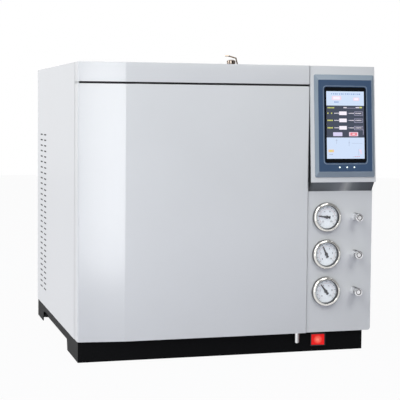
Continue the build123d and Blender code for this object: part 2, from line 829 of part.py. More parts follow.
with BuildPart() as oven_back_plate:
    block((left + flange, column_left), back_plate_y, (base_height, deck_z[0]))
    plate_cut = (wool_y[1] - 1, wool_y[1] + 5)
    bar_y(oven_mid_x, oven_mid_z, wall_holes, few_sides, plate_cut, Mode.SUBTRACT)
    for x in heater_leg_x:
        bar_y(x, heater_leg_z, heater_leg_radius + loose, few_sides, plate_cut, Mode.SUBTRACT)
    block(around(duct_x, port_size), plate_cut, around(duct_z, port_size), Mode.SUBTRACT)
save(oven_back_plate, "oven_back_plate")

baffle_y = (oven_y[1] - baffle_gap - liner_sheet, oven_y[1] - baffle_gap)
with BuildPart() as fan_baffle:
    # Plate over the fan: air goes in through the guard and back round the edges
    with BuildSketch(Plane.XZ.offset(-baffle_y[1])):
        with Locations((oven_mid_x, oven_mid_z)):
            RectangleRounded(oven_width - 2 * baffle_inset, oven_height - 2 * baffle_inset, 20.0)
            RegularPolygon(guard_hole_radius, guard_sides, mode=Mode.SUBTRACT)
            for ring in (0.75, 0.5, 0.25):
                RegularPolygon(guard_hole_radius * ring, guard_sides)
                RegularPolygon(guard_hole_radius * ring - 2.0, guard_sides, mode=Mode.SUBTRACT)
            with PolarLocations(guard_hole_radius / 2 + 3, 4, 45):
                Rectangle(guard_hole_radius + 2, 2.4)
    extrude(amount=liner_sheet)
    for x in (oven_x[0] + 40.0, oven_x[1] - 40.0):
        for z in (oven_z[0] + 28.0, oven_z[1] - 14.0):
            bar_y(x, z, 4.0, few_sides, (baffle_y[1], oven_y[1]))
save(fan_baffle, "fan_baffle")

with BuildPart() as heater:
    # Ring of flat-pressed element on two terminals
    ring_y = around(heater_y, 2 * heater_rod_radius)
    bar_y(oven_mid_x, oven_mid_z, heater_radius + heater_rod_radius, full_sides, ring_y)
    bar_y(oven_mid_x, oven_mid_z, heater_radius - heater_rod_radius, full_sides, ring_y, Mode.SUBTRACT)
    for x in heater_leg_x:
        leg_y = (heater_y - heater_leg_radius, back_plate_y[1] + 12.0)
        bar_y(x, heater_leg_z, heater_leg_radius, few_sides, leg_y)
save(heater, "heater")

fan_y = (oven_y[1] - fan_clear - impeller_width, oven_y[1] - fan_clear)
with BuildSketch() as blade:
    with BuildLine():
        Polyline(
            (hub_radius - 1.0, 0),
            (0.4 * impeller_radius, 2.5),
            (0.65 * impeller_radius, 9.0),
            (impeller_radius - 6.0, 20.0),
        )
        offset(amount=0.7, side=Side.BOTH, kind=Kind.INTERSECTION)
    make_face()

fan_plane = Plane(origin=(oven_mid_x, fan_y[1], oven_mid_z), x_dir=(1, 0, 0), z_dir=(0, -1, 0))
with BuildPart() as oven_fan:
    # Radial impeller: back disc, hub and curved blades
    with BuildSketch(fan_plane):
        RegularPolygon(impeller_radius, full_sides)
    extrude(amount=1.2)
    with BuildSketch(fan_plane):
        RegularPolygon(hub_radius, many_sides)
        with PolarLocations(0, blade_count):
            add(blade.sketch)
    extrude(amount=impeller_width)
    rod_y(oven_mid_x, oven_mid_z, shaft_radius, (fan_y[0] + 2.0, fan_y[1] + 1), Mode.SUBTRACT)
save(oven_fan, "oven_fan")

motor_y = (back_plate_y[1] + motor_gap, back_plate_y[1] + motor_gap + motor_length)
rotor_y = (motor_y[0] + 4 * motor_shell, motor_y[1] - 4 * motor_shell)
with BuildPart() as fan_shaft:
    rod_y(oven_mid_x, oven_mid_z, shaft_radius, (fan_y[0] + 2.0, motor_y[1] - motor_shell - 1.0))
    bar_y(oven_mid_x, oven_mid_z, rotor_radius, many_sides, rotor_y)
save(fan_shaft, "fan_shaft")

with BuildPart() as fan_motor:
    bar_y(oven_mid_x, oven_mid_z, motor_radius, 2 * many_sides, motor_y)
    rotor_room = (rotor_y[0] - 1.0, rotor_y[1] + 1.0)
    bar_y(oven_mid_x, oven_mid_z, rotor_radius + 1.0, many_sides, rotor_room, Mode.SUBTRACT)
    rod_y(
        oven_mid_x,
        oven_mid_z,
        shaft_radius + running,
        (motor_y[0] - 1, motor_y[1] - motor_shell),
        Mode.SUBTRACT,
    )
    with BuildSketch(Plane.XZ.offset(-motor_y[1])):
        with Locations((oven_mid_x, oven_mid_z)):
            with PolarLocations(motor_radius - 2.0, 4, 45):
                RegularPolygon(5.0, few_sides)
    extrude(amount=motor_length + motor_gap)
save(fan_motor, "fan_motor")

# ---------------------------------------------------------------- column on its hanger
coil_inner = coil_radius - coil_thick / 2
coil_y_span = around(coil_y, coil_width)
hanger_top = oven_z[1]
hanger_seat = oven_mid_z + (coil_inner**2 - (hanger_width / 2) ** 2) ** 0.5
hanger_sheet = 2.0
with BuildPart() as column_hanger:
    # Two straps from the oven's ceiling with a saddle through the coil
    for y in (coil_y_span[0] - 1.0 - hanger_sheet, coil_y_span[1] + 1.0):
        block(
            around(oven_mid_x, hanger_width),
            (y, y + hanger_sheet),
            (hanger_seat - hanger_sheet, hanger_top),
        )
    block(
        around(oven_mid_x, hanger_width),
        (coil_y_span[0] - 1.0, coil_y_span[1] + 1.0),
        (hanger_seat - hanger_sheet, hanger_seat),
    )
save(column_hanger, "column_hanger")

fitting_bottom = oven_z[1] - stem_drop
with BuildPart() as capillary_column:
    # Wound bundle; its two ends rise to the fittings
    bar_y(oven_mid_x, oven_mid_z, coil_radius + coil_thick / 2, full_sides, coil_y_span)
    bar_y(oven_mid_x, oven_mid_z, coil_inner, full_sides, around(coil_y, coil_width + 2), Mode.SUBTRACT)
    for end, side in ((injector, 1), (detector, -1)):
        start = (oven_mid_x + side * coil_radius, coil_y, oven_mid_z)
        knee = (end[0], end[1], oven_mid_z + 40.0)
        with BuildLine() as tail:
            shoulder = (start[0] + side * 6.0, coil_y, oven_mid_z + 34.0)
            Polyline(start, shoulder, knee, (*end, fitting_bottom))
        with BuildSketch(Plane(origin=start, z_dir=tail.line % 0)):
            RegularPolygon(tail_radius, 6)
        sweep(path=tail.line, transition=Transition.RIGHT)
save(capillary_column, "capillary_column")

# ---------------------------------------------------------------- exhaust
with BuildPart() as exhaust_duct:
    block(around(duct_x, port_size), (oven_y[1] + liner_sheet, duct_end), around(duct_z, port_size))
    block(
        around(duct_x, port_size - 2 * duct_sheet),
        (oven_y[1], duct_end + 1),
        around(duct_z, port_size - 2 * duct_sheet),
        Mode.SUBTRACT,
    )
    flap_axis = (duct_end + 0.5, duct_z + port_size / 2 + 3.0)
    for side in (-1, 1):
        ear_x = duct_x + side * (port_size / 2 - 3.0)
        block(
            around(ear_x, 3.0),
            (duct_end - 8.0, duct_end + 4.0),
            (flap_axis[1] - 3.0, flap_axis[1] + 4.0),
        )
    rod_x(*flap_axis, flap_pin_radius + running, around(duct_x, port_size + 2), Mode.SUBTRACT)
save(exhaust_duct, "exhaust_duct")

with BuildPart() as exhaust_flap:
    flap_y = (duct_end + loose, duct_end + loose + 1.2)
    ear_reach = 5.6
    rod_x(*flap_axis, flap_pin_radius, around(duct_x, port_size + 4))
    block(around(duct_x, port_size - 12.0), flap_y, (flap_axis[1] - 6.0, flap_axis[1]))
    block(around(duct_x, port_size), flap_y, (duct_z - port_size / 2, flap_axis[1] - ear_reach))
save(exhaust_flap, "exhaust_flap")

# ---------------------------------------------------------------- deck, injector, detector
with BuildPart() as top_deck:
    block((left + sheet, column_left), (frame_rear, rear_inner), deck_z)
    for x, y in (injector, detector):
        bar_z(x, y, stem_radius + loose, few_sides, (deck_z[0] - 1, deck_z[1] + 1), Mode.SUBTRACT)
save(top_deck, "top_deck")

block_top = deck_z[1] + injector_block_tall
tower_top = injector_seat - neck_reach
with BuildPart() as injector_body:
    block(
        around(injector[0], injector_block),
        around(injector[1], injector_block),
        (deck_z[1], block_top),
    )
    chamfer(injector_body.edges().filter_by(Axis.Z), 4.0)
    bar_z(*injector, stem_radius, few_sides, (fitting_bottom, deck_z[1] + 1))
    bar_z(*injector, injector_tower_radius, many_sides, (deck_z[1], tower_top))
    fin_pitch = (tower_top - block_top) / (fin_count + 1)
    for fin in range(fin_count):
        height = block_top + fin_pitch * (fin + 1) - fin_thick / 2
        bar_z(*injector, injector_tower_radius + fin_reach, many_sides, (height, height + fin_thick))
    rod_z(*injector, neck_radius, (tower_top - 1, injector_seat + neck_reach))
save(injector_body, "injector_body")

nut_bottom = injector_seat - neck_reach
nut_top = injector_seat + nut_height
nut_sides = 18
needle_hole = 1.6
with BuildPart() as septum_nut:
    # Cap with upright grip faces and a waist, screwed over the injector's neck
    bar_z(*injector, nut_radius, nut_sides, (nut_bottom, injector_seat + 2.0))
    bar_z(*injector, nut_waist, nut_sides, (nut_bottom, nut_top - 6.0))
    bar_z(*injector, nut_radius, nut_sides, (nut_top - 8.0, nut_top - 1.0))
    bar_z(*injector, nut_waist, nut_sides, (nut_top - 2.0, nut_top))
    nut_bore = (nut_bottom - 1, nut_bottom + 2 * neck_reach + 2.0)
    rod_z(*injector, neck_radius + running, nut_bore, Mode.SUBTRACT)
    bar_z(*injector, needle_hole, few_sides, (nut_bottom, nut_top + 1), Mode.SUBTRACT)
save(septum_nut, "septum_nut")

with BuildPart() as purge_line:
    # Thin vent tube: up beside the nut, then bent over it
    over = nut_top + 3.4
    purge_foot = (injector[0] + 15.5, injector[1] + 4.0)
    with BuildLine() as purge_path:
        Polyline(
            (*purge_foot, block_top),
            (*purge_foot, injector_seat - 4.0),
            (injector[0] + 13.4, injector[1] + 2.0, injector_seat + 8.0),
            (injector[0] + 10.0, injector[1], over),
            (injector[0] - 6.0, injector[1] - 1.0, over + 4.2),
            (injector[0] - 13.0, injector[1] - 1.0, over + 4.2),
        )
    with BuildSketch(Plane(origin=(*purge_foot, block_top), z_dir=(0, 0, 1))):
        RegularPolygon(purge_radius, few_sides)
    sweep(path=purge_path.line, transition=Transition.RIGHT)
save(purge_line, "purge_line")

with BuildPart() as detector_body:
    block(
        around(detector[0], detector_block),
        around(detector[1], detector_block),
        (deck_z[1], deck_z[1] + detector_block_tall),
    )
    chamfer(detector_body.edges().filter_by(Axis.Z), 4.0)
    bar_z(*detector, stem_radius, few_sides, (fitting_bottom, deck_z[1] + 1))
    bar_z(*detector, cap_radius - 2.0, many_sides, (deck_z[1], detector_top - cap_tall))
    # Igniter at the side
    arm_x = (detector[0] + 10.0, detector[0] + 34.0)
    bar_x(detector[1], detector_top - cap_tall - 10.0, 5.0, few_sides, arm_x)
save(detector_body, "detector_body")

vent_radius = 5.0
with BuildPart() as detector_cap:
    # Broad foot that tapers to the vent
    with BuildSketch(Plane(origin=(*detector, detector_top - cap_tall))):
        RegularPolygon(cap_radius, many_sides)
    extrude(amount=8.0)
    with BuildSketch(Plane(origin=(*detector, detector_top - cap_tall + 8.0))):
        RegularPolygon(cap_radius, many_sides)
    with BuildSketch(Plane(origin=(*detector, detector_top - 10.0))):
        RegularPolygon(vent_radius + 6.0, many_sides)
    loft(ruled=True)
    bar_z(*detector, vent_radius + 6.0, many_sides, (detector_top - 11.0, detector_top))
    vent_z = (detector_top - cap_tall - 1, detector_top + 1)
    bar_z(*detector, vent_radius, few_sides, vent_z, Mode.SUBTRACT)
save(detector_cap, "detector_cap")

# ---------------------------------------------------------------- lid
lid_axis = (rear - lid_axis_in, case_height - lid_axis_down)
hinge_places = (left + lid_hinge_in, door_right - lid_hinge_in)
lid_x = (left + sheet + lid_side_clear, door_right)
with BuildPart() as lid:
    extrude(front_plan(lid_bottom, return_back), amount=case_height - lid_bottom)
    extrude(
        front_plan(lid_bottom - 1, return_back + 10, sheet),
        amount=lid_under - lid_bottom + 1,
        mode=Mode.SUBTRACT,
    )
    block(lid_x, (face + 30.0, lid_axis[0]), (lid_under, case_height))
    for x in (lid_x[0], lid_x[1] - sheet):
        block((x, x + sheet), (return_back, lid_axis[0] - 20.0), (lid_under - 10.0, case_height))
    # Hinge knuckles under the rear edge
    for middle in hinge_places:
        for side in (-1, 1):
            knuckle = around(middle + side * (fixed_half + leaf_half) / 2, leaf_half - fixed_half - loose)
            bar_x(*lid_axis, knuckle_radius, few_sides, knuckle)
            block(knuckle, (lid_axis[0] - 24.0, lid_axis[0]), (lid_axis[1] + 1.0, lid_under))
            block(
                knuckle,
                (lid_axis[0] - 24.0, lid_axis[0] - 3.0),
                (lid_axis[1] - 3.0, lid_under - 2.2),
                Mode.SUBTRACT,
            )
        rod_x(*lid_axis, lid_pin_radius + running, around(middle, 2 * leaf_half + 4), Mode.SUBTRACT)
    rod_z(*injector, port_hole_radius, (lid_under - 1, case_height + 1), Mode.SUBTRACT)
save(lid, "lid")

with BuildPart() as lid_hinge_brackets:
    for middle in hinge_places:
        fixed = around(middle, 2 * fixed_half)
        bar_x(*lid_axis, knuckle_radius, few_sides, fixed)
        block(
            fixed,
            (lid_axis[0], strip_front + 13.0),
            (lid_axis[1] - knuckle_radius, lid_axis[1] - knuckle_radius + 2.0),
        )
        block(fixed, (strip_front + 11.0, strip_front + 13.0), (lid_axis[1] - knuckle_radius, lid_under))
        block(fixed, (strip_front + 4.0, strip_front + 13.0), (lid_under - 2.0, lid_under))
        rod_x(*lid_axis, lid_pin_radius, around(middle, 2 * leaf_half), Mode.SUBTRACT)
save(lid_hinge_brackets, "lid_hinge_brackets")

with BuildPart() as lid_hinge_pins:
    for middle in hinge_places:
        rod_x(*lid_axis, lid_pin_radius, around(middle, 2 * leaf_half))
save(lid_hinge_pins, "lid_hinge_pins")

with BuildPart() as lid_bumpers:
    for x in (left + bumper_in, door_right - bumper_in):
        bar_z(x, frame_rear + 9.0, bumper_radius, few_sides, (frame_top, lid_under))
save(lid_bumpers, "lid_bumpers")

# ---------------------------------------------------------------- gauges and valves
def face_plane(x, out, height):
    """Plane parallel to the panel's face, looking out, at a distance in front of it."""
    return Plane(origin=(x, panel_face - out, height), x_dir=(1, 0, 0), z_dir=(0, -1, 0))


dial_floor = 1.0
pointer_rise = 2.8
gauge_back = panel_face + gauge_body_depth
with BuildPart() as gauge_cases:
    for height in gauge_heights:
        # Bevelled rim with the seats of lens and dial, capsule and gas stem behind the panel
        rim_y = (panel_face - gauge_proud, panel_face)
        bar_y(gauge_column, height, gauge_radius, full_sides, rim_y)
        chamfer(gauge_cases.faces().sort_by(Axis.Y)[0].edges(), 3.6)
        lens_y = (rim_y[0] - 1, panel_face - lens_seat)
        bar_y(gauge_column, height, lens_radius, full_sides, lens_y, Mode.SUBTRACT)
        dial_y = (rim_y[0] - 1, panel_face - dial_floor)
        bar_y(gauge_column, height, dial_radius, full_sides, dial_y, Mode.SUBTRACT)
        bar_y(gauge_column, height, gauge_body_radius, many_sides, (panel_face, gauge_back))
        bar_y(gauge_column, height, gauge_stem_radius, few_sides, (panel_face, manifold_y[0]))
save(gauge_cases, "gauge_cases")

with BuildPart() as gauge_dials:
    for height in gauge_heights:
        with BuildSketch(face_plane(gauge_column, dial_floor, height)):
            RegularPolygon(dial_radius - running, full_sides)
        extrude(amount=dial_thick)
        # The pointer's arbor stands on the dial
        arbor_y = (panel_face - pointer_rise - 1.6, panel_face - dial_floor)
        rod_y(gauge_column, height, arbor_radius, arbor_y)
save(gauge_dials, "gauge_dials")

with BuildPart() as gauge_lenses:
    for height in gauge_heights:
        with BuildSketch(face_plane(gauge_column, lens_seat, height)):
            RegularPolygon(lens_radius - running, full_sides)
        extrude(amount=lens_thick)
save(gauge_lenses, "gauge_lenses")

for number, (height, angle) in enumerate(zip(gauge_heights, pointer_angles), 1):
    turn = radians(angle)
    pointer_plane = Plane(
        origin=(gauge_column, panel_face - pointer_rise, height),
        x_dir=(cos(turn), 0, sin(turn)),
        z_dir=(0, -1, 0),
    )
    with BuildPart() as pointer:
        with BuildSketch(pointer_plane):
            with BuildLine():
                Polyline(
                    (0, pointer_length),
                    (-0.9, 0),
                    (-1.5, -pointer_tail),
                    (1.5, -pointer_tail),
                    (0.9, 0),
                    close=True,
                )
            make_face()
            RegularPolygon(2.6, few_sides)
        extrude(amount=0.6)
        with BuildSketch(pointer_plane):
            RegularPolygon(2.2, few_sides)
        extrude(amount=2.4)
        with BuildSketch(pointer_plane):
            Circle(arbor_radius + running)
        extrude(amount=1.7, mode=Mode.SUBTRACT)
    save(pointer, f"gauge_{number}_pointer")

with BuildPart() as valve_bodies:
    for height in gauge_heights:
        bar_y(valve_column, height, valve_body_radius, few_sides, (panel_rear, manifold_y[0]))
        bar_y(valve_column, height, valve_sleeve, few_sides, (panel_face - 1.0, panel_rear))
        with BuildSketch(face_plane(valve_column, 0, height)):
            RegularPolygon(valve_body_radius - 1.0, 6)
        extrude(amount=1.2)
        rod_y(valve_column, height, valve_stem_radius, (panel_face - valve_stem_reach, panel_face))
save(valve_bodies, "valve_bodies")

knob_end = panel_set_back + end_reach
for number, height in enumerate(gauge_heights, 1):
    with BuildPart() as knob:
        # Faceted grip, a groove and a chamfered end
        span = (panel_face - knob_end, panel_face - knob_gap)
        bar_y(valve_column, height, knob_radius, grip_sides, (span[0], span[0] + 5.8))
        chamfer(knob.faces().sort_by(Axis.Y)[0].edges(), 0.8)
        bar_y(valve_column, height, knob_radius - 0.9, grip_sides, (span[0] + 5.0, span[0] + 8.0))
        bar_y(valve_column, height, knob_radius, grip_sides, (span[0] + 7.6, span[1]))
        bore = (panel_face - valve_stem_reach - 0.5, panel_face)
        rod_y(valve_column, height, valve_stem_radius + running, bore, Mode.SUBTRACT)
    save(knob, f"valve_{number}_knob")

with BuildPart() as gas_manifold:
    block(
        (gauge_column - 16.0, valve_column + 14.0),
        manifold_y,
        (gauge_heights[-1] - 18.0, gauge_heights[0] + 18.0),
    )
save(gas_manifold, "gas_manifold")

# ---------------------------------------------------------------- power switch
switch_face = base_y[0]
switch_pivot = switch_face + 3.0
switch_cavity = (rocker_width + 2.1, rocker_tall + 0.5)
with BuildPart() as switch_frame:
    block(
        around(switch_at, switch_width),
        (switch_face - 2.0, switch_face),
        around(switch_height, switch_tall),
    )
    block(
        around(switch_at, switch_hole[0] - 0.1),
        (switch_face - 1.0, switch_face + 20.0),
        around(switch_height, switch_hole[1] - 0.1),
    )
    block(
        around(switch_at, switch_cavity[0]),
        (switch_face - 3.0, switch_face + 14.0),
        around(switch_height, switch_cavity[1]),
        Mode.SUBTRACT,
    )
    rod_z(switch_at, switch_pivot, 1.2 + running, around(switch_height, rocker_tall + 1.2), Mode.SUBTRACT)
    chamfer(switch_frame.edges().filter_by(Axis.Y).group_by(SortBy.LENGTH)[0], 0.8)
save(switch_frame, "switch_frame")

with BuildPart() as power_rocker:
    half = rocker_width / 2
    rocker_plane = Plane(
        origin=(switch_at, switch_pivot, switch_height - rocker_tall / 2), x_dir=(1, 0, 0), z_dir=(0, 0, 1)
    ).rotated((0, 0, -rocker_tilt))
    with BuildSketch(rocker_plane):
        with BuildLine():
            Polyline((-half, -7.0), (-half, 1.0), (-4.0, 6.0), (4.0, 6.0), (half, 1.0), (half, -7.0))
            ThreePointArc((half, -7.0), (0, -5.4), (-half, -7.0))
        make_face()
    extrude(amount=rocker_tall)
    rod_z(switch_at, switch_pivot, 1.2, around(switch_height, rocker_tall + 1.0))
save(power_rocker, "power_rocker")

# ---------------------------------------------------------------- electronics and rear fittings
board_x = right - sheet - board_post
board_y = (face + board_back, face + board_back + board_width)
board_z = (board_low, board_low + board_height)
with BuildPart() as main_board:
    block((board_x - 1.6, board_x), board_y, board_z)
    for y in (board_y[0] + 8.0, board_y[1] - 8.0):
        for z in (board_z[0] + 8.0, board_z[1] - 8.0):
            bar_x(y, z, 3.0, few_sides, (board_x, right - sheet))
    for y, z, wide, tall, high in (
        (40.0, 60.0, 38.0, 38.0, 6.0),
        (120.0, 70.0, 24.0, 50.0, 12.0),
        (60.0, 200.0, 60.0, 20.0, 18.0),
        (190.0, 120.0, 42.0, 42.0, 14.0),
        (200.0, 230.0, 70.0, 24.0, 10.0),
    ):
        block(
            (board_x - 1.6 - high, board_x - 1.6),
            (board_y[0] + y, board_y[0] + y + wide),
            (board_z[0] + z, board_z[0] + z + tall),
        )
save(main_board, "main_board")

with BuildPart() as power_supply:
    supply_x = column_left + sheet + supply_gap
    supply_end = rear - supply_from_rear
    block(
        (supply_x, supply_x + supply_width),
        (supply_end - supply_depth, supply_end),
        (base_height, base_height + supply_tall),
    )
    chamfer(power_supply.edges().filter_by(Axis.Y).group_by(Axis.Z)[-1], 2.0)
save(power_supply, "power_supply")

with BuildPart() as gas_fittings:
    for x in fitting_x:
        bar_y(x, fitting_height, fitting_radius - running, few_sides, (rear_inner - 6.0, rear + 1.0))
        rod_y(x, fitting_height, fitting_radius, (rear + 1.0, rear + end_reach))
        for low in (rear_inner - fitting_nut_tall, rear):
            with BuildSketch(Plane(origin=(x, low, fitting_height), x_dir=(-1, 0, 0), z_dir=(0, 1, 0))):
                RegularPolygon(fitting_nut, 6)
            extrude(amount=fitting_nut_tall)
save(gas_fittings, "gas_fittings")

with BuildPart() as mains_inlet:
    with BuildSketch(Plane(origin=(inlet_x, rear, inlet_z), x_dir=(-1, 0, 0), z_dir=(0, 1, 0))):
        RectangleRounded(inlet_width, inlet_height, 3.0)
    extrude(amount=2.5)
    block(
        around(inlet_x, inlet_width - 20.4),
        (rear - 24.0, rear + 1),
        around(inlet_z, inlet_height - 3.4),
    )
    socket_plane = Plane(origin=(inlet_x, rear + 3, inlet_z), x_dir=(-1, 0, 0), z_dir=(0, 1, 0))
    with BuildSketch(socket_plane) as socket:
        Rectangle(24.4, 16.8)
        chamfer(socket.vertices().group_by(Axis.Z)[-1], 4.0)
    extrude(amount=-20, mode=Mode.SUBTRACT)
    for x, z in ((-7.0, -2.0), (7.0, -2.0), (0.0, 2.2)):
        block(around(inlet_x + x, 2.0), (rear - 18.0, rear - 1.0), around(inlet_z + z, 4.0))
save(mains_inlet, "mains_inlet")
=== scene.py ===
from math import atan2, cos, pi, radians, sin

import bmesh
import bpy
from bpy.props import FloatProperty, FloatVectorProperty, IntProperty, PointerProperty
from bpy.types import Operator, Panel, PropertyGroup
from mathutils import Matrix, Vector


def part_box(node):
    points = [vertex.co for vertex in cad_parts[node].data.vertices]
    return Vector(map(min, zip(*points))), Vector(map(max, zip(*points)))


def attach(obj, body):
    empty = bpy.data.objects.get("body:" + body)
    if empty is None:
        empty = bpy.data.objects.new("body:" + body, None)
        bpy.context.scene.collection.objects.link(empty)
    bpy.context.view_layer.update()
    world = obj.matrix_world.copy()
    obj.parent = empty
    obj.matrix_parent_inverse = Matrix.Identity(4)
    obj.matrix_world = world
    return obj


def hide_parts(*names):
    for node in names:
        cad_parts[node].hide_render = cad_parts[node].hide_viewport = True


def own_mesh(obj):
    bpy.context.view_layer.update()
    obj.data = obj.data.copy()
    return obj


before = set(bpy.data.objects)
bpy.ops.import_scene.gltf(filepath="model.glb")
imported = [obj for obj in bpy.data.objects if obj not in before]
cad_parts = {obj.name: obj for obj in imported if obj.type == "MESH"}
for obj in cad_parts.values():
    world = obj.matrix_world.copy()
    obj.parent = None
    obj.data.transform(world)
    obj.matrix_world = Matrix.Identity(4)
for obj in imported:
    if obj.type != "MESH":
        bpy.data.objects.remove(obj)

bl_info = {
    "name": "Gas chromatograph dressing",
    "version": (1, 0, 0),
    "blender": (4, 5, 0),
    "location": "View3D > Sidebar > Chromatograph",
    "description": "Finishes and fine parts of a benchtop gas chromatograph",
    "category": "Object",
}

CABINET = "cabinet"
MM = 0.001


def mm(*values):
    """Millimetres as a vector in metres."""
    return Vector([value * MM for value in values])


# ------------------------------------------------------------------ places taken from the frame
DIAL_LOW, DIAL_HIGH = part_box("gauge_dials")
DIAL_RADIUS = (DIAL_HIGH.x - DIAL_LOW.x) / 2
DIAL_X = (DIAL_HIGH.x + DIAL_LOW.x) / 2
DIAL_FRONT = DIAL_LOW.y
GAUGE_HEIGHTS = [
    DIAL_HIGH.z - DIAL_RADIUS,
    (DIAL_HIGH.z + DIAL_LOW.z) / 2,
    DIAL_LOW.z + DIAL_RADIUS,
]
PANEL_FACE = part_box("column_front_panel")[0].y
FASCIA_LOW, FASCIA_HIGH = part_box("screen_fascia")
FASCIA_TILT = atan2(PANEL_FACE - FASCIA_LOW.y, FASCIA_HIGH.z - FASCIA_LOW.z)
NUT_LOW, NUT_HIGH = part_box("septum_nut")
NUT_AXIS = (NUT_LOW + NUT_HIGH) / 2
POINTER_ANGLES = (83.0, 25.5, 38.0)      # from straight up, anticlockwise


# ------------------------------------------------------------------ settings
class ChromatographFinish(PropertyGroup):
    """Colours of the case and its fittings"""

    case: FloatVectorProperty(
        name="Case", description="Powder coat of door, lid and panels",
        subtype="COLOR", default=(0.66, 0.68, 0.69),
    )
    base: FloatVectorProperty(
        name="Base", description="Powder coat of the base",
        subtype="COLOR", default=(0.0028, 0.003, 0.0036),
    )
    wedge: FloatVectorProperty(
        name="Screen body", description="Metallic paint behind the screen",
        subtype="COLOR", default=(0.09, 0.1, 0.118),
    )
    bezel: FloatVectorProperty(
        name="Screen border", description="Sloped border of the screen",
        subtype="COLOR", default=(0.22, 0.28, 0.34),
    )
    screen_face: FloatVectorProperty(
        name="Screen face", description="Film round the window",
        subtype="COLOR", default=(0.035, 0.075, 0.15),
    )


class ChromatographSizes(PropertyGroup):
    """Sizes of the fine parts"""

    gauge_sweep: FloatProperty(
        name="Gauge sweep", description="Angle between the ends of a gauge's scale",
        subtype="ANGLE", default=radians(270),
    )
    gauge_marks: IntProperty(
        name="Gauge marks", description="Divisions on a gauge's scale", default=50, min=10
    )
    knob_flutes: IntProperty(
        name="Knob flutes", description="Grip ridges round a valve knob", default=40, min=12
    )
    nut_flutes: IntProperty(
        name="Nut flutes", description="Grip ridges round the septum nut", default=18, min=8
    )
    column_turns: IntProperty(
        name="Column turns", description="Turns of the wound column", default=17, min=4
    )
    column_wire: FloatProperty(
        name="Column tube", description="Outside radius of the column's tube",
        subtype="DISTANCE", default=0.00072,
    )
    screw_radius: FloatProperty(
        name="Screw head", description="Radius of a case screw's head",
        subtype="DISTANCE", default=0.0036,
    )


# ------------------------------------------------------------------ shader helpers
def add_node(tree, kind, values=None, **settings):
    """New node: its settings first, then the values or links of its sockets."""
    node = tree.nodes.new(kind)
    for key, value in settings.items():
        setattr(node, key, value)
    for key, value in (values or {}).items():
        if isinstance(value, bpy.types.NodeSocket):
            tree.links.new(value, node.inputs[key])
        else:
            node.inputs[key].default_value = value
    return node


class Wire:
    """One socket of a material. Each operator adds the Math node that it stands for."""

    def __init__(self, paint, socket):
        self.paint = paint
        self.socket = socket

    def _math(self, operation, *values):
        return self.paint.add("ShaderNodeMath", dict(enumerate(values)), operation=operation)

    def __add__(self, other):
        return self._math("ADD", self, other)

    def __radd__(self, other):
        return self._math("ADD", other, self)

    def __sub__(self, other):
        return self._math("SUBTRACT", self, other)

    def __rsub__(self, other):
        return self._math("SUBTRACT", other, self)

    def __mul__(self, other):
        return self._math("MULTIPLY", self, other)

    def __truediv__(self, other):
        return self._math("DIVIDE", self, other)

    def __pow__(self, other):
        return self._math("POWER", self, other)

    def size(self):
        """Absolute value."""
        return self._math("ABSOLUTE", self)

    def over(self, limit):
        """1 where the value is above the limit."""
        return self._math("GREATER_THAN", self, limit)

    def at_least(self, limit):
        """The larger of the value and the limit."""
        return self._math("MAXIMUM", self, limit)

    def at_most(self, limit):
        """The smaller of the value and the limit."""
        return self._math("MINIMUM", self, limit)


class Paint:
    """One procedural material, built round a Principled BSDF."""

    def __init__(self, name, **constants):
        self.material = bpy.data.materials.new(name)
        self.material.use_nodes = True
        self.tree = self.material.node_tree
        self.shader = self.tree.nodes["Principled BSDF"]
        for key, value in constants.items():
            self.shader.inputs[key.replace("_", " ")].default_value = value

    def add(self, kind, values=None, out=0, **settings):
        """Output of a new node; wires among its values become links."""
        plain = {
            key: value.socket if isinstance(value, Wire) else value
            for key, value in (values or {}).items()
        }
        return Wire(self, add_node(self.tree, kind, plain, **settings).outputs[out])

    def ramp(self, factor, *stops):
        """Colour that runs through the stops as the factor rises."""
        node = add_node(self.tree, "ShaderNodeValToRGB", {"Fac": factor.socket})
        elements = node.color_ramp.elements
        while len(elements) < len(stops):
            elements.new(0.5)
        for element, (place, colour) in zip(elements, stops):
            element.position = place
            element.color = (*colour, 1.0)
        return Wire(self, node.outputs[0])

    def place(self, scale=(1, 1, 1), offset=(0, 0, 0)):
        """Object coordinates, moved and scaled."""
        here = self.add("ShaderNodeTexCoord", out="Object")
        return self.add("ShaderNodeMapping", {"Vector": here, "Location": offset, "Scale": scale})

    def split(self, vector):
        """X, Y and Z of a vector."""
        node = add_node(self.tree, "ShaderNodeSeparateXYZ", {0: vector.socket})
        return [Wire(self, output) for output in node.outputs]

    def noise(self, vector, scale, detail=2.0, roughness=0.5):
        """Noise between 0 and 1."""
        values = {"Vector": vector, "Scale": scale, "Detail": detail, "Roughness": roughness}
        return self.add("ShaderNodeTexNoise", values, "Fac", noise_dimensions="3D")

    def smears(self):
        """Wipe marks along the width of a polished piece."""
        return self.noise(self.place((60, 60, 400)), 1.0, 3.0)

    def mix(self, factor, first, second):
        """Colour between first and second."""
        ends = [value if isinstance(value, Wire) else (*value, 1.0) for value in (first, second)]
        values = {0: factor, 6: ends[0], 7: ends[1]}
        return self.add("ShaderNodeMix", values, 2, data_type="RGBA")

    def set(self, **links):
        """Links wires to the shader's sockets."""
        for key, wire in links.items():
            self.tree.links.new(wire.socket, self.shader.inputs[key.replace("_", " ")])
        return self

    def bump(self, height, strength, distance):
        """Bump node on the shader's normal."""
        values = {"Height": height, "Strength": strength, "Distance": distance}
        return self.set(Normal=self.add("ShaderNodeBump", values))


def shaded(colour, factor):
    """The colour, darker or lighter."""
    return tuple(min(1.0, channel * factor) for channel in colour)


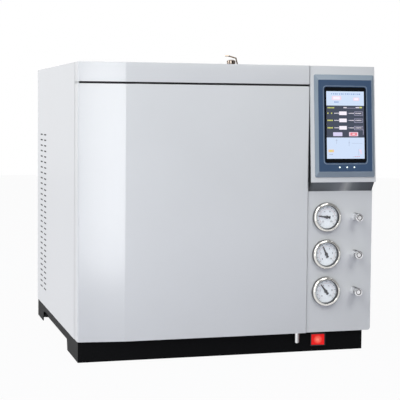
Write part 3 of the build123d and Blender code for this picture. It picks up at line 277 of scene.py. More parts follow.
def powder_coat(name, colour, roughness, grain=1400.0, depth=0.25, coat=0.0):
    """Powder coat: fine orange peel, a little unevenness in colour and gloss."""
    paint = Paint(name, Metallic=0.0, Coat_Weight=coat, Coat_Roughness=0.2)
    here = paint.place()
    cloud = paint.noise(here, 7.0, 3.0)
    peel = paint.noise(here, grain, 2.0, 0.6)
    waves = paint.noise(here, grain / 7.0, 1.0)
    paint.set(
        Base_Color=paint.mix(cloud, shaded(colour, 0.97), shaded(colour, 1.03)),
        Roughness=roughness + (cloud - 0.5) * 0.08 + (peel - 0.5) * 0.06,
    )
    paint.bump(peel * 0.5 + waves * 0.5, depth, 0.00012)
    return paint.material


def brushed_metal(name, colour, roughness, grain=(20, 900, 900), stain=None):
    """Metal with a drawn grain; stain is a heat tint or dirt colour in soft clouds."""
    paint = Paint(name, Metallic=1.0)
    lines = paint.noise(paint.place(grain), 1.0, 4.0, 0.65)
    here = paint.place()
    cloud = paint.noise(here, 9.0, 3.0)
    tone = paint.mix(lines, shaded(colour, 0.86), shaded(colour, 1.1))
    if stain:
        tone = paint.mix((cloud - 0.45).at_least(0.0) * 2.2, tone, stain)
    paint.set(Base_Color=tone, Roughness=roughness + (lines - 0.5) * 0.2 + (cloud - 0.5) * 0.1)
    paint.bump(lines, 0.18, 0.00006)
    return paint.material


def polished(name, colour, roughness):
    """Polished metal with faint wipe marks."""
    paint = Paint(name, Metallic=1.0)
    smear = paint.smears()
    paint.set(
        Base_Color=paint.mix(smear, shaded(colour, 0.93), shaded(colour, 1.04)),
        Roughness=roughness + (smear - 0.5) * 0.08,
    )
    paint.bump(smear, 0.05, 0.00004)
    return paint.material


def moulded(name, colour, roughness, grain=2200.0, depth=0.15, coat=0.0):
    """Moulded plastic or rubber with a fine spark-eroded grain."""
    paint = Paint(name, Coat_Weight=coat, Coat_Roughness=0.08)
    here = paint.place()
    grit = paint.noise(here, grain, 2.0, 0.7)
    cloud = paint.noise(here, 30.0, 2.0)
    paint.set(
        Base_Color=paint.mix(cloud, shaded(colour, 0.92), shaded(colour, 1.08)),
        Roughness=roughness + (grit - 0.5) * 0.12,
    )
    paint.bump(grit, depth, 0.00008)
    return paint.material


def mineral_wool(name, colour):
    """Fluffy layered fibre with darker pockets."""
    paint = Paint(name)
    fibres = paint.noise(paint.place((180, 180, 700)), 1.0, 6.0, 0.75)
    tufts = paint.noise(paint.place(), 60.0, 4.0, 0.7)
    tone = paint.mix(fibres, shaded(colour, 0.55), shaded(colour, 1.15))
    paint.set(
        Base_Color=paint.mix(tufts * 0.5, tone, shaded(colour, 1.3)),
        Roughness=0.9 + (fibres - 0.5) * 0.1,
    )
    paint.bump(fibres * 0.6 + tufts, 0.9, 0.0012)
    return paint.material


def glow(name, colour, strength):
    """Lit colour of a display or lamp, with a faint pixel grid."""
    paint = Paint(name, Roughness=0.3, Emission_Strength=strength, Specular_IOR_Level=0.1)
    paint.shader.inputs["Base Color"].default_value = (*shaded(colour, 0.05), 1.0)
    grid = paint.noise(paint.place(), 2600.0, 1.0)
    paint.set(Emission_Color=paint.mix(grid, shaded(colour, 0.95), shaded(colour, 1.03)))
    return paint.material


# ------------------------------------------------------------------ mesh helpers
def new_piece(name, mesh, material):
    """Object in the scene with one material."""
    piece = bpy.data.objects.new(name, mesh)
    bpy.context.scene.collection.objects.link(piece)
    for one in material if isinstance(material, (list, tuple)) else [material]:
        if one.name not in [held.name for held in mesh.materials if held]:
            mesh.materials.append(one)
    return piece


def mesh_of(name, points, faces, paints=None, smooth=35.0):
    """Mesh from points and faces, with doubles merged and sharp edges by angle."""
    shape = bmesh.new()
    made = [shape.verts.new(point) for point in points]
    for index, face in enumerate(faces):
        fresh = shape.faces.new([made[corner] for corner in face])
        fresh.material_index = paints[index] if paints else 0
    bmesh.ops.remove_doubles(shape, verts=shape.verts, dist=1e-6)
    bmesh.ops.recalc_face_normals(shape, faces=shape.faces)
    mesh = bpy.data.meshes.new(name)
    shape.to_mesh(mesh)
    shape.free()
    mesh.shade_smooth()
    mesh.set_sharp_from_angle(angle=radians(smooth))
    return mesh


def frame_of(origin, out, across=(1, 0, 0)):
    """Matrix whose Z is out and whose X lies along across."""
    z = Vector(out).normalized()
    y = z.cross(Vector(across)).normalized()
    x = y.cross(z)
    turn = Matrix((x, y, z)).transposed().to_4x4()
    turn.translation = Vector(origin)
    return turn


def stacked(rings, place, bands=None, closed=(True, True), joined=False):
    """Points and faces of outlines joined one above the other; bands gives each wall's material."""
    points, faces, paints = [], [], []
    count = len(rings[0])
    for ring in rings:
        points += [place @ Vector(point) for point in ring]
    walls = len(rings) if joined else len(rings) - 1
    for level in range(walls):
        low, high = level * count, ((level + 1) % len(rings)) * count
        for step in range(count):
            after = (step + 1) % count
            faces.append((low + step, low + after, high + after, high + step))
            paints.append(bands[level] if bands else 0)
    if not joined:
        if closed[0]:
            faces.append(tuple(range(count)))
            paints.append(bands[0] if bands else 0)
        if closed[1]:
            faces.append(tuple(range(len(points) - count, len(points))))
            paints.append(bands[-1] if bands else 0)
    return points, faces, paints


def circle(radius, height, steps=64):
    """Outline of a circle at a height."""
    angles = [2 * pi * step / steps for step in range(steps)]
    return [(radius * cos(angle), radius * sin(angle), height) for angle in angles]


def rounded(width, tall, radius, height, middle=(0.0, 0.0), arc=5):
    """Outline of a rectangle with rounded corners."""
    points = []
    for corner, (sx, sy) in enumerate(((1, 1), (-1, 1), (-1, -1), (1, -1))):
        cx = middle[0] + sx * (width / 2 - radius)
        cy = middle[1] + sy * (tall / 2 - radius)
        for step in range(arc + 1):
            angle = pi / 2 * (corner + step / arc)
            points.append((cx + radius * cos(angle), cy + radius * sin(angle), height))
    return points


def cross_outline(length, width, height, steps):
    """Outline of the cross recess in a screw's head."""
    points = []
    for step in range(steps):
        angle = 2 * pi * (step + 0.5) / steps
        c, s = abs(cos(angle)), abs(sin(angle))
        radius = max(min(length / c, width / s), min(length / s, width / c))
        points.append((radius * cos(angle), radius * sin(angle), height))
    return points


def turned(name, profile, place, material, steps=72, bands=None):
    """Piece turned on a lathe from (radius, height) pairs, closed at both ends."""
    rings = [circle(max(radius, 1e-7), height, steps) for radius, height in profile]
    return new_piece(name, mesh_of(name, *stacked(rings, place, bands)), material)


def tube(name, path, radius, material, steps=12, ends=True):
    """Round tube along points, with its frame carried along so it does not twist."""
    path = [Vector(point) for point in path]
    angles = [2 * pi * step / steps for step in range(steps)]
    side = Vector((1, 0, 0))
    rings = []
    for index, point in enumerate(path):
        ahead = (path[min(index + 1, len(path) - 1)] - path[max(index - 1, 0)]).normalized()
        if abs(ahead.dot(side)) > 0.98:
            side = ahead.orthogonal()
        side = (side - ahead * side.dot(ahead)).normalized()
        up = ahead.cross(side)
        rings.append([point + (side * cos(angle) + up * sin(angle)) * radius for angle in angles])
    skin = stacked(rings, Matrix.Identity(4), closed=(ends, ends))
    return new_piece(name, mesh_of(name, *skin, smooth=60), material)


def smooth_path(points):
    """Corner-cut copy of a path that keeps its ends."""
    points = [Vector(point) for point in points]
    for _ in range(3):
        cut = [points[0]]
        for first, second in zip(points, points[1:]):
            cut += [first.lerp(second, 0.25), first.lerp(second, 0.75)]
        points = cut + [points[-1]]
    return points


def discard(piece):
    """Takes a piece and its mesh out of the scene."""
    mesh = piece.data
    bpy.data.objects.remove(piece)
    bpy.data.meshes.remove(mesh)


def evaluated_mesh(piece):
    """Plain mesh of an object with its modifiers or outlines worked out."""
    bpy.context.view_layer.update()
    graph = bpy.context.evaluated_depsgraph_get()
    return bpy.data.meshes.new_from_object(piece.evaluated_get(graph))


def join(name, pieces):
    """One object from several."""
    shape = bmesh.new()
    materials = []
    for piece in pieces:
        start = len(shape.faces)
        slots = []
        for material in piece.data.materials:
            if material not in materials:
                materials.append(material)
            slots.append(materials.index(material))
        shape.from_mesh(piece.data)
        shape.faces.ensure_lookup_table()
        for face in shape.faces[start:]:
            face.material_index = slots[min(face.material_index, len(slots) - 1)]
    mesh = bpy.data.meshes.new(name)
    shape.to_mesh(mesh)
    shape.free()
    for material in materials:
        mesh.materials.append(material)
    for piece in pieces:
        discard(piece)
    whole = bpy.data.objects.new(name, mesh)
    bpy.context.scene.collection.objects.link(whole)
    return whole


def softened(name, node, size, chosen):
    """Copy of a node whose chosen outer folds are rounded; it takes the node's place."""
    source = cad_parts[node]
    shape = bmesh.new()
    shape.from_mesh(source.data)
    bmesh.ops.remove_doubles(shape, verts=shape.verts, dist=1e-6)
    bmesh.ops.dissolve_limit(shape, angle_limit=radians(0.5), verts=shape.verts, edges=shape.edges)
    folds = []
    for edge in shape.edges:
        if len(edge.link_faces) != 2 or not edge.is_convex or edge.calc_face_angle() < radians(5):
            continue
        middle = (edge.verts[0].co + edge.verts[1].co) / 2
        along = (edge.verts[1].co - edge.verts[0].co).normalized()
        if edge.calc_length() > 12 * MM and chosen(middle, along):
            folds.append(edge)
    bmesh.ops.bevel(
        shape, geom=folds, offset=size, offset_type="OFFSET", segments=4, profile=0.5,
        affect="EDGES", clamp_overlap=True,
    )
    mesh = bpy.data.meshes.new(name)
    shape.to_mesh(mesh)
    shape.free()
    mesh.shade_smooth()
    mesh.set_sharp_from_angle(angle=radians(24))
    piece = new_piece(name, mesh, source.data.materials[0])
    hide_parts(node)
    return piece


def numeral(text, height, place, material):
    """Flat digits with a little thickness, centred on a place."""
    curve = bpy.data.curves.new("numeral_" + text, "FONT")
    curve.body = text
    curve.size = height
    curve.align_x = "CENTER"
    curve.align_y = "CENTER"
    curve.extrude = height * 0.02
    curve.resolution_u = 3
    writing = bpy.data.objects.new("numeral_" + text, curve)
    bpy.context.scene.collection.objects.link(writing)
    mesh = evaluated_mesh(writing)
    bpy.data.objects.remove(writing)
    bpy.data.curves.remove(curve)
    mesh.transform(place)
    mesh.materials.clear()
    return new_piece("numeral", mesh, material)


# ------------------------------------------------------------------ geometry node trees
class Growth:
    """A geometry node tree with named inputs, ended in Realize Instances and Set Material."""

    def __init__(self, name, inputs):
        self.tree = bpy.data.node_groups.new(name, "GeometryNodeTree")
        self.keys = {}
        sockets = self.tree.interface
        for label, kind in inputs.items():
            made = sockets.new_socket(name=label, in_out="INPUT", socket_type="NodeSocket" + kind)
            self.keys[label] = made.identifier
        sockets.new_socket(name="Geometry", in_out="OUTPUT", socket_type="NodeSocketGeometry")
        self.entry = self.tree.nodes.new("NodeGroupInput")
        self.exit = self.tree.nodes.new("NodeGroupOutput")

    def given(self, label):
        """Output of the group's named input."""
        return self.entry.outputs[label]

    def add(self, kind, values=None, out=0, **settings):
        """Output of a new node."""
        return add_node(self.tree, kind, values, **settings).outputs[out]

    def math(self, operation, *values):
        """Math node."""
        return self.add("ShaderNodeMath", dict(enumerate(values)), operation=operation)

    def finish(self, geometry, material):
        """Realizes the instances, sets the material and links the result."""
        real = self.add("GeometryNodeRealizeInstances", {"Geometry": geometry})
        painted = self.add("GeometryNodeSetMaterial", {"Geometry": real, "Material": material})
        self.tree.links.new(painted, self.exit.inputs[0])
        return self

    def grow(self, name, values, mesh=None):
        """Plain mesh that the tree makes with these inputs."""
        holder = bpy.data.objects.new(name, mesh or bpy.data.meshes.new(name))
        bpy.context.scene.collection.objects.link(holder)
        modifier = holder.modifiers.new("grow", "NODES")
        modifier.node_group = self.tree
        for label, value in values.items():
            modifier[self.keys[label]] = value
        made = evaluated_mesh(holder)
        holder.modifiers.remove(modifier)
        bpy.data.objects.remove(holder)
        return made


def arc_tree(material):
    """Bars round an arc in the XZ plane, each turned to point outwards."""
    inputs = {"Count": "Int", "Radius": "Float", "Start": "Float", "Sweep": "Float", "Bar": "Vector"}
    tree = Growth("bars_round_arc", inputs)
    index = tree.add("GeometryNodeInputIndex")
    last = tree.math("SUBTRACT", tree.given("Count"), 1.0)
    share = tree.math("DIVIDE", index, last)
    angle = tree.math("MULTIPLY_ADD", share, tree.given("Sweep"), tree.given("Start"))
    x = tree.math("MULTIPLY", tree.given("Radius"), tree.math("SINE", angle))
    z = tree.math("MULTIPLY", tree.given("Radius"), tree.math("COSINE", angle))
    spot = tree.add("ShaderNodeCombineXYZ", {"X": x, "Z": z}, out="Vector")
    points = tree.add("GeometryNodePoints", {"Count": tree.given("Count")})
    spread = tree.add("GeometryNodeSetPosition", {"Geometry": points, "Position": spot})
    euler = tree.add("ShaderNodeCombineXYZ", {"Y": angle}, out="Vector")
    turn = tree.add("FunctionNodeEulerToRotation", {"Euler": euler})
    bar = tree.add("GeometryNodeMeshCube", {"Size": tree.given("Bar")})
    values = {"Points": spread, "Instance": bar, "Rotation": turn}
    bars = tree.add("GeometryNodeInstanceOnPoints", values)
    return tree.finish(bars, material)


def copies_tree(material):
    """Copies of a pattern on every point of the incoming mesh, all turned alike."""
    inputs = {"Geometry": "Geometry", "Pattern": "Object", "Turn": "Vector", "Size": "Float"}
    tree = Growth("copies_on_points", inputs)
    shape = tree.add("GeometryNodeObjectInfo", {"Object": tree.given("Pattern")}, out="Geometry")
    turn = tree.add("FunctionNodeEulerToRotation", {"Euler": tree.given("Turn")})
    values = {
        "Points": tree.given("Geometry"),
        "Instance": shape,
        "Rotation": turn,
        "Scale": tree.given("Size"),
    }
    return tree.finish(tree.add("GeometryNodeInstanceOnPoints", values), material)


def winding_tree(material):
    """Round tube wound in a cylinder about Z."""
    inputs = {"Turns": "Float", "Radius": "Float", "Height": "Float", "Tube": "Float"}
    tree = Growth("winding", inputs)
    values = {
        "Resolution": 56,
        "Rotations": tree.given("Turns"),
        "Start Radius": tree.given("Radius"),
        "End Radius": tree.given("Radius"),
        "Height": tree.given("Height"),
    }
    spiral = tree.add("GeometryNodeCurveSpiral", values)
    values = {"Resolution": 6, "Radius": tree.given("Tube")}
    section = tree.add("GeometryNodeCurvePrimitiveCircle", values)
    values = {"Curve": spiral, "Profile Curve": section, "Fill Caps": True}
    return tree.finish(tree.add("GeometryNodeCurveToMesh", values), material)


def grown_flutes(tree, count, radius, bar, place):
    """Grip ridges all round a knob or nut, as a mesh."""
    values = {"Count": count + 1, "Radius": radius, "Start": 0.0, "Sweep": 2 * pi, "Bar": bar}
    mesh = tree.grow("flutes", values)
    mesh.transform(place)
    return mesh


def grown_copies(tree, name, pattern, places, turn, size):
    """Copies of a pattern at the places, as a mesh."""
    seats = bpy.data.meshes.new(name)
    seats.from_pydata(places, [], [])
    return tree.grow(name, {"Pattern": pattern, "Turn": turn, "Size": size}, seats)


# ------------------------------------------------------------------ finishes
def paint_nodes(material, *names):
    """Gives nodes of the frame their finish."""
    for name in names:
        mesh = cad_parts[name].data
        if not mesh.materials:
            mesh.materials.append(material)
        for index in range(len(mesh.materials)):
            mesh.materials[index] = material


class CHROMATOGRAPH_OT_case(Operator):
    """Powder coat and plastics of the case"""

    bl_idname = "chromatograph.case"
    bl_label = "Finish the case"

    def execute(self, context):
        finish = context.scene.chromatograph_finish
        paint_nodes(
            powder_coat("case_coat", finish.case, 0.3, coat=0.6),
            "left_side_panel", "right_side_panel", "rear_panel", "door_shell", "lid",
            "column_front_panel", "screen_fascia",
        )
        base = powder_coat("base_coat", finish.base, 0.5, grain=900.0, depth=0.3)
        sockets = base.node_tree.nodes["Principled BSDF"].inputs
        sockets["Specular IOR Level"].default_value = 0.06
        paint_nodes(base, "base_chassis")
        paint_nodes(self.wedge_paint(finish.wedge), "screen_wedge")
        rubber = moulded("foot_rubber", (0.012, 0.012, 0.013), 0.7, grain=1500.0, depth=0.4)
        paint_nodes(rubber, "rubber_feet", "lid_bumpers")
        return {"FINISHED"}

    def wedge_paint(self, colour):
        """Metallic paint of the screen's body, with painted light along the width: a painted
        reflection in a bright band and painted shade towards the ends, darkest at the left.
        """
        paint = Paint("wedge_metallic", Metallic=0.75)
        here = paint.place()
        flakes = paint.noise(here, 4200.0, 1.0, 0.8)
        cloud = paint.noise(here, 12.0)
        side, _, _ = paint.split(here)
        # Painted reflection and painted shade: the base colour is ramped along the width, bright
        # near the middle and dark at the ends.
        shine = paint.ramp(
            (side - FASCIA_LOW.x) / (FASCIA_HIGH.x - FASCIA_LOW.x),
            (0.0, (0.04, 0.045, 0.05)), (0.05, (0.1, 0.11, 0.12)), (0.3, (0.13, 0.145, 0.16)),
            (0.46, (0.19, 0.2, 0.22)), (0.56, (0.42, 0.43, 0.44)), (0.66, (0.15, 0.165, 0.18)),
            (0.8, (0.08, 0.09, 0.1)), (1.0, (0.06, 0.065, 0.075)),
        )
        tone = paint.mix(flakes * 0.35, shine, colour)
        paint.set(Base_Color=tone, Roughness=0.3 + (cloud - 0.5) * 0.1)
        paint.bump(flakes, 0.08, 0.00005)
        return paint.material


class CHROMATOGRAPH_OT_inside(Operator):
    """Finishes of the oven, the deck and the electronics"""

    bl_idname = "chromatograph.inside"
    bl_label = "Finish the inside"

    def execute(self, context):
        oven = brushed_metal("oven_steel", (0.55, 0.54, 0.52), 0.34, stain=(0.42, 0.33, 0.2))
        paint_nodes(oven, "oven_liner", "fan_baffle", "column_hanger")
        plain = brushed_metal("plain_steel", (0.57, 0.57, 0.57), 0.32)
        paint_nodes(plain, "door_liner", "oven_frame", "exhaust_duct", "exhaust_flap")
        zinc = brushed_metal(
            "zinc_sheet", (0.47, 0.49, 0.5), 0.42, (140, 140, 140), stain=(0.6, 0.62, 0.64)
        )
        paint_nodes(
            zinc, "oven_back_plate", "top_deck", "divider_wall", "lid_hinge_brackets",
            "door_hinge_bracket", "power_supply",
        )
        wool = mineral_wool("mineral_wool", (0.2, 0.185, 0.14))
        paint_nodes(wool, "oven_insulation", "door_insulation")
        gasket = moulded("gasket_silicone", (0.3, 0.06, 0.035), 0.6, 700.0, 0.5)
        paint_nodes(gasket, "door_gasket")
        pins = brushed_metal("ground_steel", (0.5, 0.5, 0.52), 0.22, (900, 900, 40))
        paint_nodes(pins, "door_hinge_pins", "lid_hinge_pins", "fan_shaft")
        black = moulded("black_plastic", (0.016, 0.016, 0.018), 0.45)
        paint_nodes(black, "latch_case", "switch_frame", "mains_inlet")
        paint_nodes(self.button_chrome(), "latch_button")
        sheath = brushed_metal(
            "heater_sheath", (0.16, 0.13, 0.11), 0.5, (80, 80, 80), stain=(0.3, 0.16, 0.07)
        )
        paint_nodes(sheath, "heater")
        paint_nodes(powder_coat("motor_enamel", (0.02, 0.022, 0.026), 0.4), "fan_motor")
        machined = brushed_metal("machined_steel", (0.62, 0.61, 0.58), 0.24, (700, 700, 60))
        paint_nodes(
            machined, "injector_body", "detector_body", "detector_cap", "oven_fan", "gas_manifold"
        )
        brass = brushed_metal(
            "brass", (0.66, 0.47, 0.2), 0.26, (500, 60, 500), stain=(0.45, 0.3, 0.12)
        )
        paint_nodes(brass, "gas_fittings")
        paint_nodes(polished("valve_plating", (0.66, 0.66, 0.66), 0.14), "valve_bodies")
        paint_nodes(self.board_paint(), "main_board")
        return {"FINISHED"}

    def button_chrome(self):
        """Plating of the latch's button, with painted reflections in bands across its width: bright
        highlights and dark streaks.
        """
        paint = Paint("button_chrome", Metallic=1.0)
        low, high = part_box("latch_button")
        across, _, _ = paint.split(paint.place(offset=(-low.x, 0, 0)))
        # Painted reflections and painted shade: bright and dark bands across the button's width.
        bands = paint.ramp(
            across / (high.x - low.x),
            (0.0, (0.12, 0.12, 0.13)), (0.18, (0.75, 0.75, 0.76)), (0.34, (0.95, 0.95, 0.95)),
            (0.5, (0.5, 0.5, 0.51)), (0.66, (0.12, 0.12, 0.13)), (0.84, (0.8, 0.8, 0.8)),
            (1.0, (0.2, 0.2, 0.2)),
        )
        wipe = paint.noise(paint.place(), 200.0, 2.0)
        paint.set(Base_Color=bands, Roughness=0.14 + wipe * 0.06)
        return paint.material

    def board_paint(self):
        """Green lacquer over raised tracks."""
        paint = Paint("circuit_board", Coat_Weight=0.3, Coat_Roughness=0.2)
        noise = paint.noise(paint.place((1, 260, 90)), 1.0, 0.0)
        tracks = noise.over(0.55)
        paint.set(
            Base_Color=paint.mix(tracks, (0.012, 0.09, 0.035), (0.02, 0.15, 0.06)),
            Roughness=0.4 + noise * 0.1,
        )
        paint.bump(tracks, 0.2, 0.0001)
        return paint.material


# ------------------------------------------------------------------ folds and seal
class CHROMATOGRAPH_OT_folds(Operator):
    """Rounded folds of the sheet metal, and the seal under the lid"""

    bl_idname = "chromatograph.folds"
    bl_label = "Round the folds"

    def execute(self, context):
        door_low, door_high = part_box("door_shell")
        lid_low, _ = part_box("lid")
        at_edge, fold, fascia_fold = 0.4 * MM, 2.2 * MM, 3.4 * MM
        bevel_deep, return_deep, fascia_deep = 12.0 * MM, 60.0 * MM, 20.0 * MM

        def outer(low):
            def chosen(middle, _):
                front = middle.y < low.y + bevel_deep
                left = middle.x < low.x + at_edge and middle.y < low.y + return_deep
                return front or left
            return chosen

        def upright(middle, along):
            side = middle.x < FASCIA_LOW.x + at_edge or middle.x > FASCIA_HIGH.x - at_edge
            return side and abs(along.z) > 0.9 and middle.y < FASCIA_LOW.y + fascia_deep

        door = softened("door_panel", "door_shell", fold, outer(door_low))
        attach(door, "oven_door")
        lid = softened("lid_panel", "lid", fold, outer(lid_low))
        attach(lid, "top_lid")
        fascia = softened("fascia_panel", "screen_fascia", fascia_fold, upright)
        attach(fascia, CABINET)
        foam = moulded("seal_foam", (0.006, 0.006, 0.007), 0.8, 1200.0, 0.5)
        inset = 3.6 * MM
        left, right, front = door_low.x + inset, door_high.x - inset, door_low.y + inset
        side_end, bevel_start, bevel_end = 46.0 * MM, 13.4 * MM, 88.5 * MM
        level = (door_high.z + lid_low.z) / 2
        route = [
            (left, door_low.y + side_end, level), (left, door_low.y + bevel_start, level),
            (door_low.x + bevel_end, front, level), (right, front, level),
        ]
        seal = tube("lid_seal", route, (lid_low.z - door_high.z) * 0.47, foam, steps=12)
        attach(seal, "oven_door")
        return {"FINISHED"}


# ------------------------------------------------------------------ gauges
class CHROMATOGRAPH_OT_gauges(Operator):
    """Rims, dials, scales, pointers and lenses of the pressure gauges"""

    bl_idname = "chromatograph.gauges"
    bl_label = "Make the gauges"

    def execute(self, context):
        sizes = context.scene.chromatograph_sizes
        case_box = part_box("gauge_cases")
        rim = (case_box[1].x - case_box[0].x) / 2
        chrome = self.rim_chrome(rim)
        # Near-black inner wall of each rim, down to the dial: painted shade inside the rim.
        shade = moulded("rim_inner_painted_shade", (0.03, 0.032, 0.036), 0.35)
        back = brushed_metal("gauge_back", (0.45, 0.45, 0.46), 0.35)
        white = moulded("dial_enamel", (0.9, 0.95, 1.0), 0.35, 500.0, 0.05)
        # Faint glow of the dial enamel: painted light that brightens the dial inside its rim.
        bright = white.node_tree.nodes["Principled BSDF"].inputs
        bright["Emission Color"].default_value = (0.84, 0.93, 1.0, 1.0)
        bright["Emission Strength"].default_value = 0.14
        ink = moulded("dial_ink", (0.01, 0.01, 0.012), 0.5, 900.0, 0.02)
        red_ink = moulded("dial_red", (0.5, 0.02, 0.015), 0.5, 900.0, 0.02)
        proud = PANEL_FACE - case_box[0].y
        rear = PANEL_FACE - case_box[1].y
        inner = DIAL_RADIUS + 1.2 * MM
        body = 25.0 * MM
        body_end = -24.0 * MM
        floor = 1.0 * MM
        stem = 5.5 * MM
        seat = proud - 3.5 * MM
        roll_wide, roll_tall, roll_steps = 4.2 * MM, 5.5 * MM, 9
        rims = []
        for height in GAUGE_HEIGHTS:
            place = frame_of((DIAL_X, PANEL_FACE, height), (0, -1, 0))
            profile = [
                (0, rear), (stem, rear), (stem, body_end), (body, body_end), (body, 0.0),
                (rim - 0.5 * MM, 0.0), (rim, 0.5 * MM), (rim, proud - roll_tall),
            ]
            for step in range(1, roll_steps + 1):
                angle = pi / 2 * step / roll_steps
                profile.append((
                    rim - roll_wide * (1 - cos(angle)), proud - roll_tall + roll_tall * sin(angle),
                ))
            profile += [
                (rim - 4.6 * MM, proud), (inner + 0.5 * MM, proud - 0.4 * MM),
                (inner, proud - 1.2 * MM), (inner, seat), (DIAL_RADIUS, seat),
                (DIAL_RADIUS, floor), (0, floor),
            ]
            bands = [1] * 4 + [0] * (len(profile) - 9) + [2] * 4
            rims.append(turned("rim", profile, place, [chrome, back, shade], steps=96, bands=bands))
        cases = join("gauge_rims", rims)
        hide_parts("gauge_cases")
        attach(cases, CABINET)
        paint_nodes(white, "gauge_dials")
        self.scales(sizes, ink, red_ink)
        self.lenses()
        self.pointers(ink)
        return {"FINISHED"}

    def rim_chrome(self, rim):
        """Polished ring with painted light: painted shade as dark lines at its inner lip and where
        it rolls back to the panel, and painted reflections in bright bands between.
        """
        paint = Paint("rim_chrome", Metallic=1.0)
        across, _, tall = paint.split(paint.place(offset=(-DIAL_X, 0, 0)))
        nearest = None
        for height in GAUGE_HEIGHTS:
            off = tall - height
            reach = (across * across + off * off) ** 0.5
            nearest = nearest.at_most(reach) if nearest else reach
        # Painted shade at the inner lip and the outer edge, painted reflections in the bright bands
        # between.
        tone = paint.ramp(
            (nearest - DIAL_RADIUS) / (rim - DIAL_RADIUS),
            (0.0, (0.06, 0.06, 0.06)), (0.17, (0.1, 0.1, 0.1)), (0.26, (0.85, 0.84, 0.8)),
            (0.5, (0.62, 0.61, 0.57)), (0.66, (0.95, 0.94, 0.9)), (0.9, (0.8, 0.78, 0.74)),
            (0.98, (0.12, 0.12, 0.12)), (1.0, (0.2, 0.2, 0.2)),
        )
        paint.set(Base_Color=tone, Roughness=0.1 + paint.smears() * 0.06)
        return paint.material

    def pointers(self, ink):
        """Flat needles with a waisted tail and a domed cap."""
        right_side = [(0.8, 16.8), (1.7, 5.0), (2.2, 0.0), (1.7, -3.0), (2.8, -6.2), (2.6, -7.4)]
        outline = right_side + [(-x, y) for x, y in reversed(right_side)]
        needle = [[mm(x, y, level) for x, y in outline] for level in (0.0, 0.6)]
        dome = [
            (1.05, 0), (3.3, 0), (3.3, 0.6), (2.9, 0.9), (2.9, 1.9), (2.2, 2.3), (0, 2.4), (0, 1.7),
            (1.05, 1.7),
        ]
        for number, (height, angle) in enumerate(zip(GAUGE_HEIGHTS, POINTER_ANGLES), 1):
            _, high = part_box(f"gauge_{number}_pointer")
            aim = Matrix.Rotation(radians(angle), 4, "Z")
            place = frame_of((DIAL_X, high.y, height), (0, -1, 0)) @ aim
            blade = new_piece("needle", mesh_of("needle", *stacked(needle, place)), ink)
            cap = turned("cap", [(r * MM, h * MM) for r, h in dome], place, ink, steps=24)
            pointer = join(f"pointer_{number}", [blade, cap])
            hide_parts(f"gauge_{number}_pointer")
            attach(pointer, f"gauge_{number}_pointer")

    def scales(self, sizes, ink, red_ink):
        """Printed scale of each dial: marks, numbers and a thin arc."""
        fine, coarse = arc_tree(ink), arc_tree(red_ink)
        half = sizes.gauge_sweep / 2
        figure_steps, figure_radius, figure_height = 5, 12.4 * MM, 4.6 * MM
        parts = []
        for height in GAUGE_HEIGHTS:
            middle = Matrix.Translation((DIAL_X, DIAL_FRONT - 0.04 * MM, height))
            for tree, count, radius, bar in (
                (fine, sizes.gauge_marks + 1, 20.0, (0.3, 0.08, 1.7)),
                (fine, sizes.gauge_marks // 5 + 1, 19.3, (0.75, 0.1, 3.1)),
                (coarse, sizes.gauge_marks * 2 + 1, 16.2, (0.6, 0.06, 0.25)),
            ):
                values = {
                    "Count": count, "Radius": radius * MM, "Start": -half,
                    "Sweep": sizes.gauge_sweep, "Bar": tuple(mm(*bar)),
                }
                mesh = tree.grow("marks", values)
                mesh.transform(middle)
                parts.append(new_piece("marks", mesh, ink))
            for step in range(figure_steps + 1):
                angle = -half + sizes.gauge_sweep * step / figure_steps
                x = DIAL_X + sin(angle) * figure_radius
                z = height + cos(angle) * figure_radius
                place = frame_of((x, DIAL_FRONT - 0.05 * MM, z), (0, -1, 0))
                parts.append(numeral(str(step * 2), figure_height, place, ink))
        scale = join("gauge_scales", parts)
        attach(scale, CABINET)

    def lenses(self):
        """Clear glass finish of the panes, with faint wipe marks."""
        clear = Paint("lens_glass", Roughness=0.02, IOR=1.45, Alpha=0.05)
        clear.shader.inputs["Base Color"].default_value = (0.9, 0.95, 0.98, 1.0)
        wipe = clear.noise(clear.place(), 90.0, 3.0)
        clear.set(Roughness=0.02 + wipe * 0.03)
        paint_nodes(clear.material, "gauge_lenses")


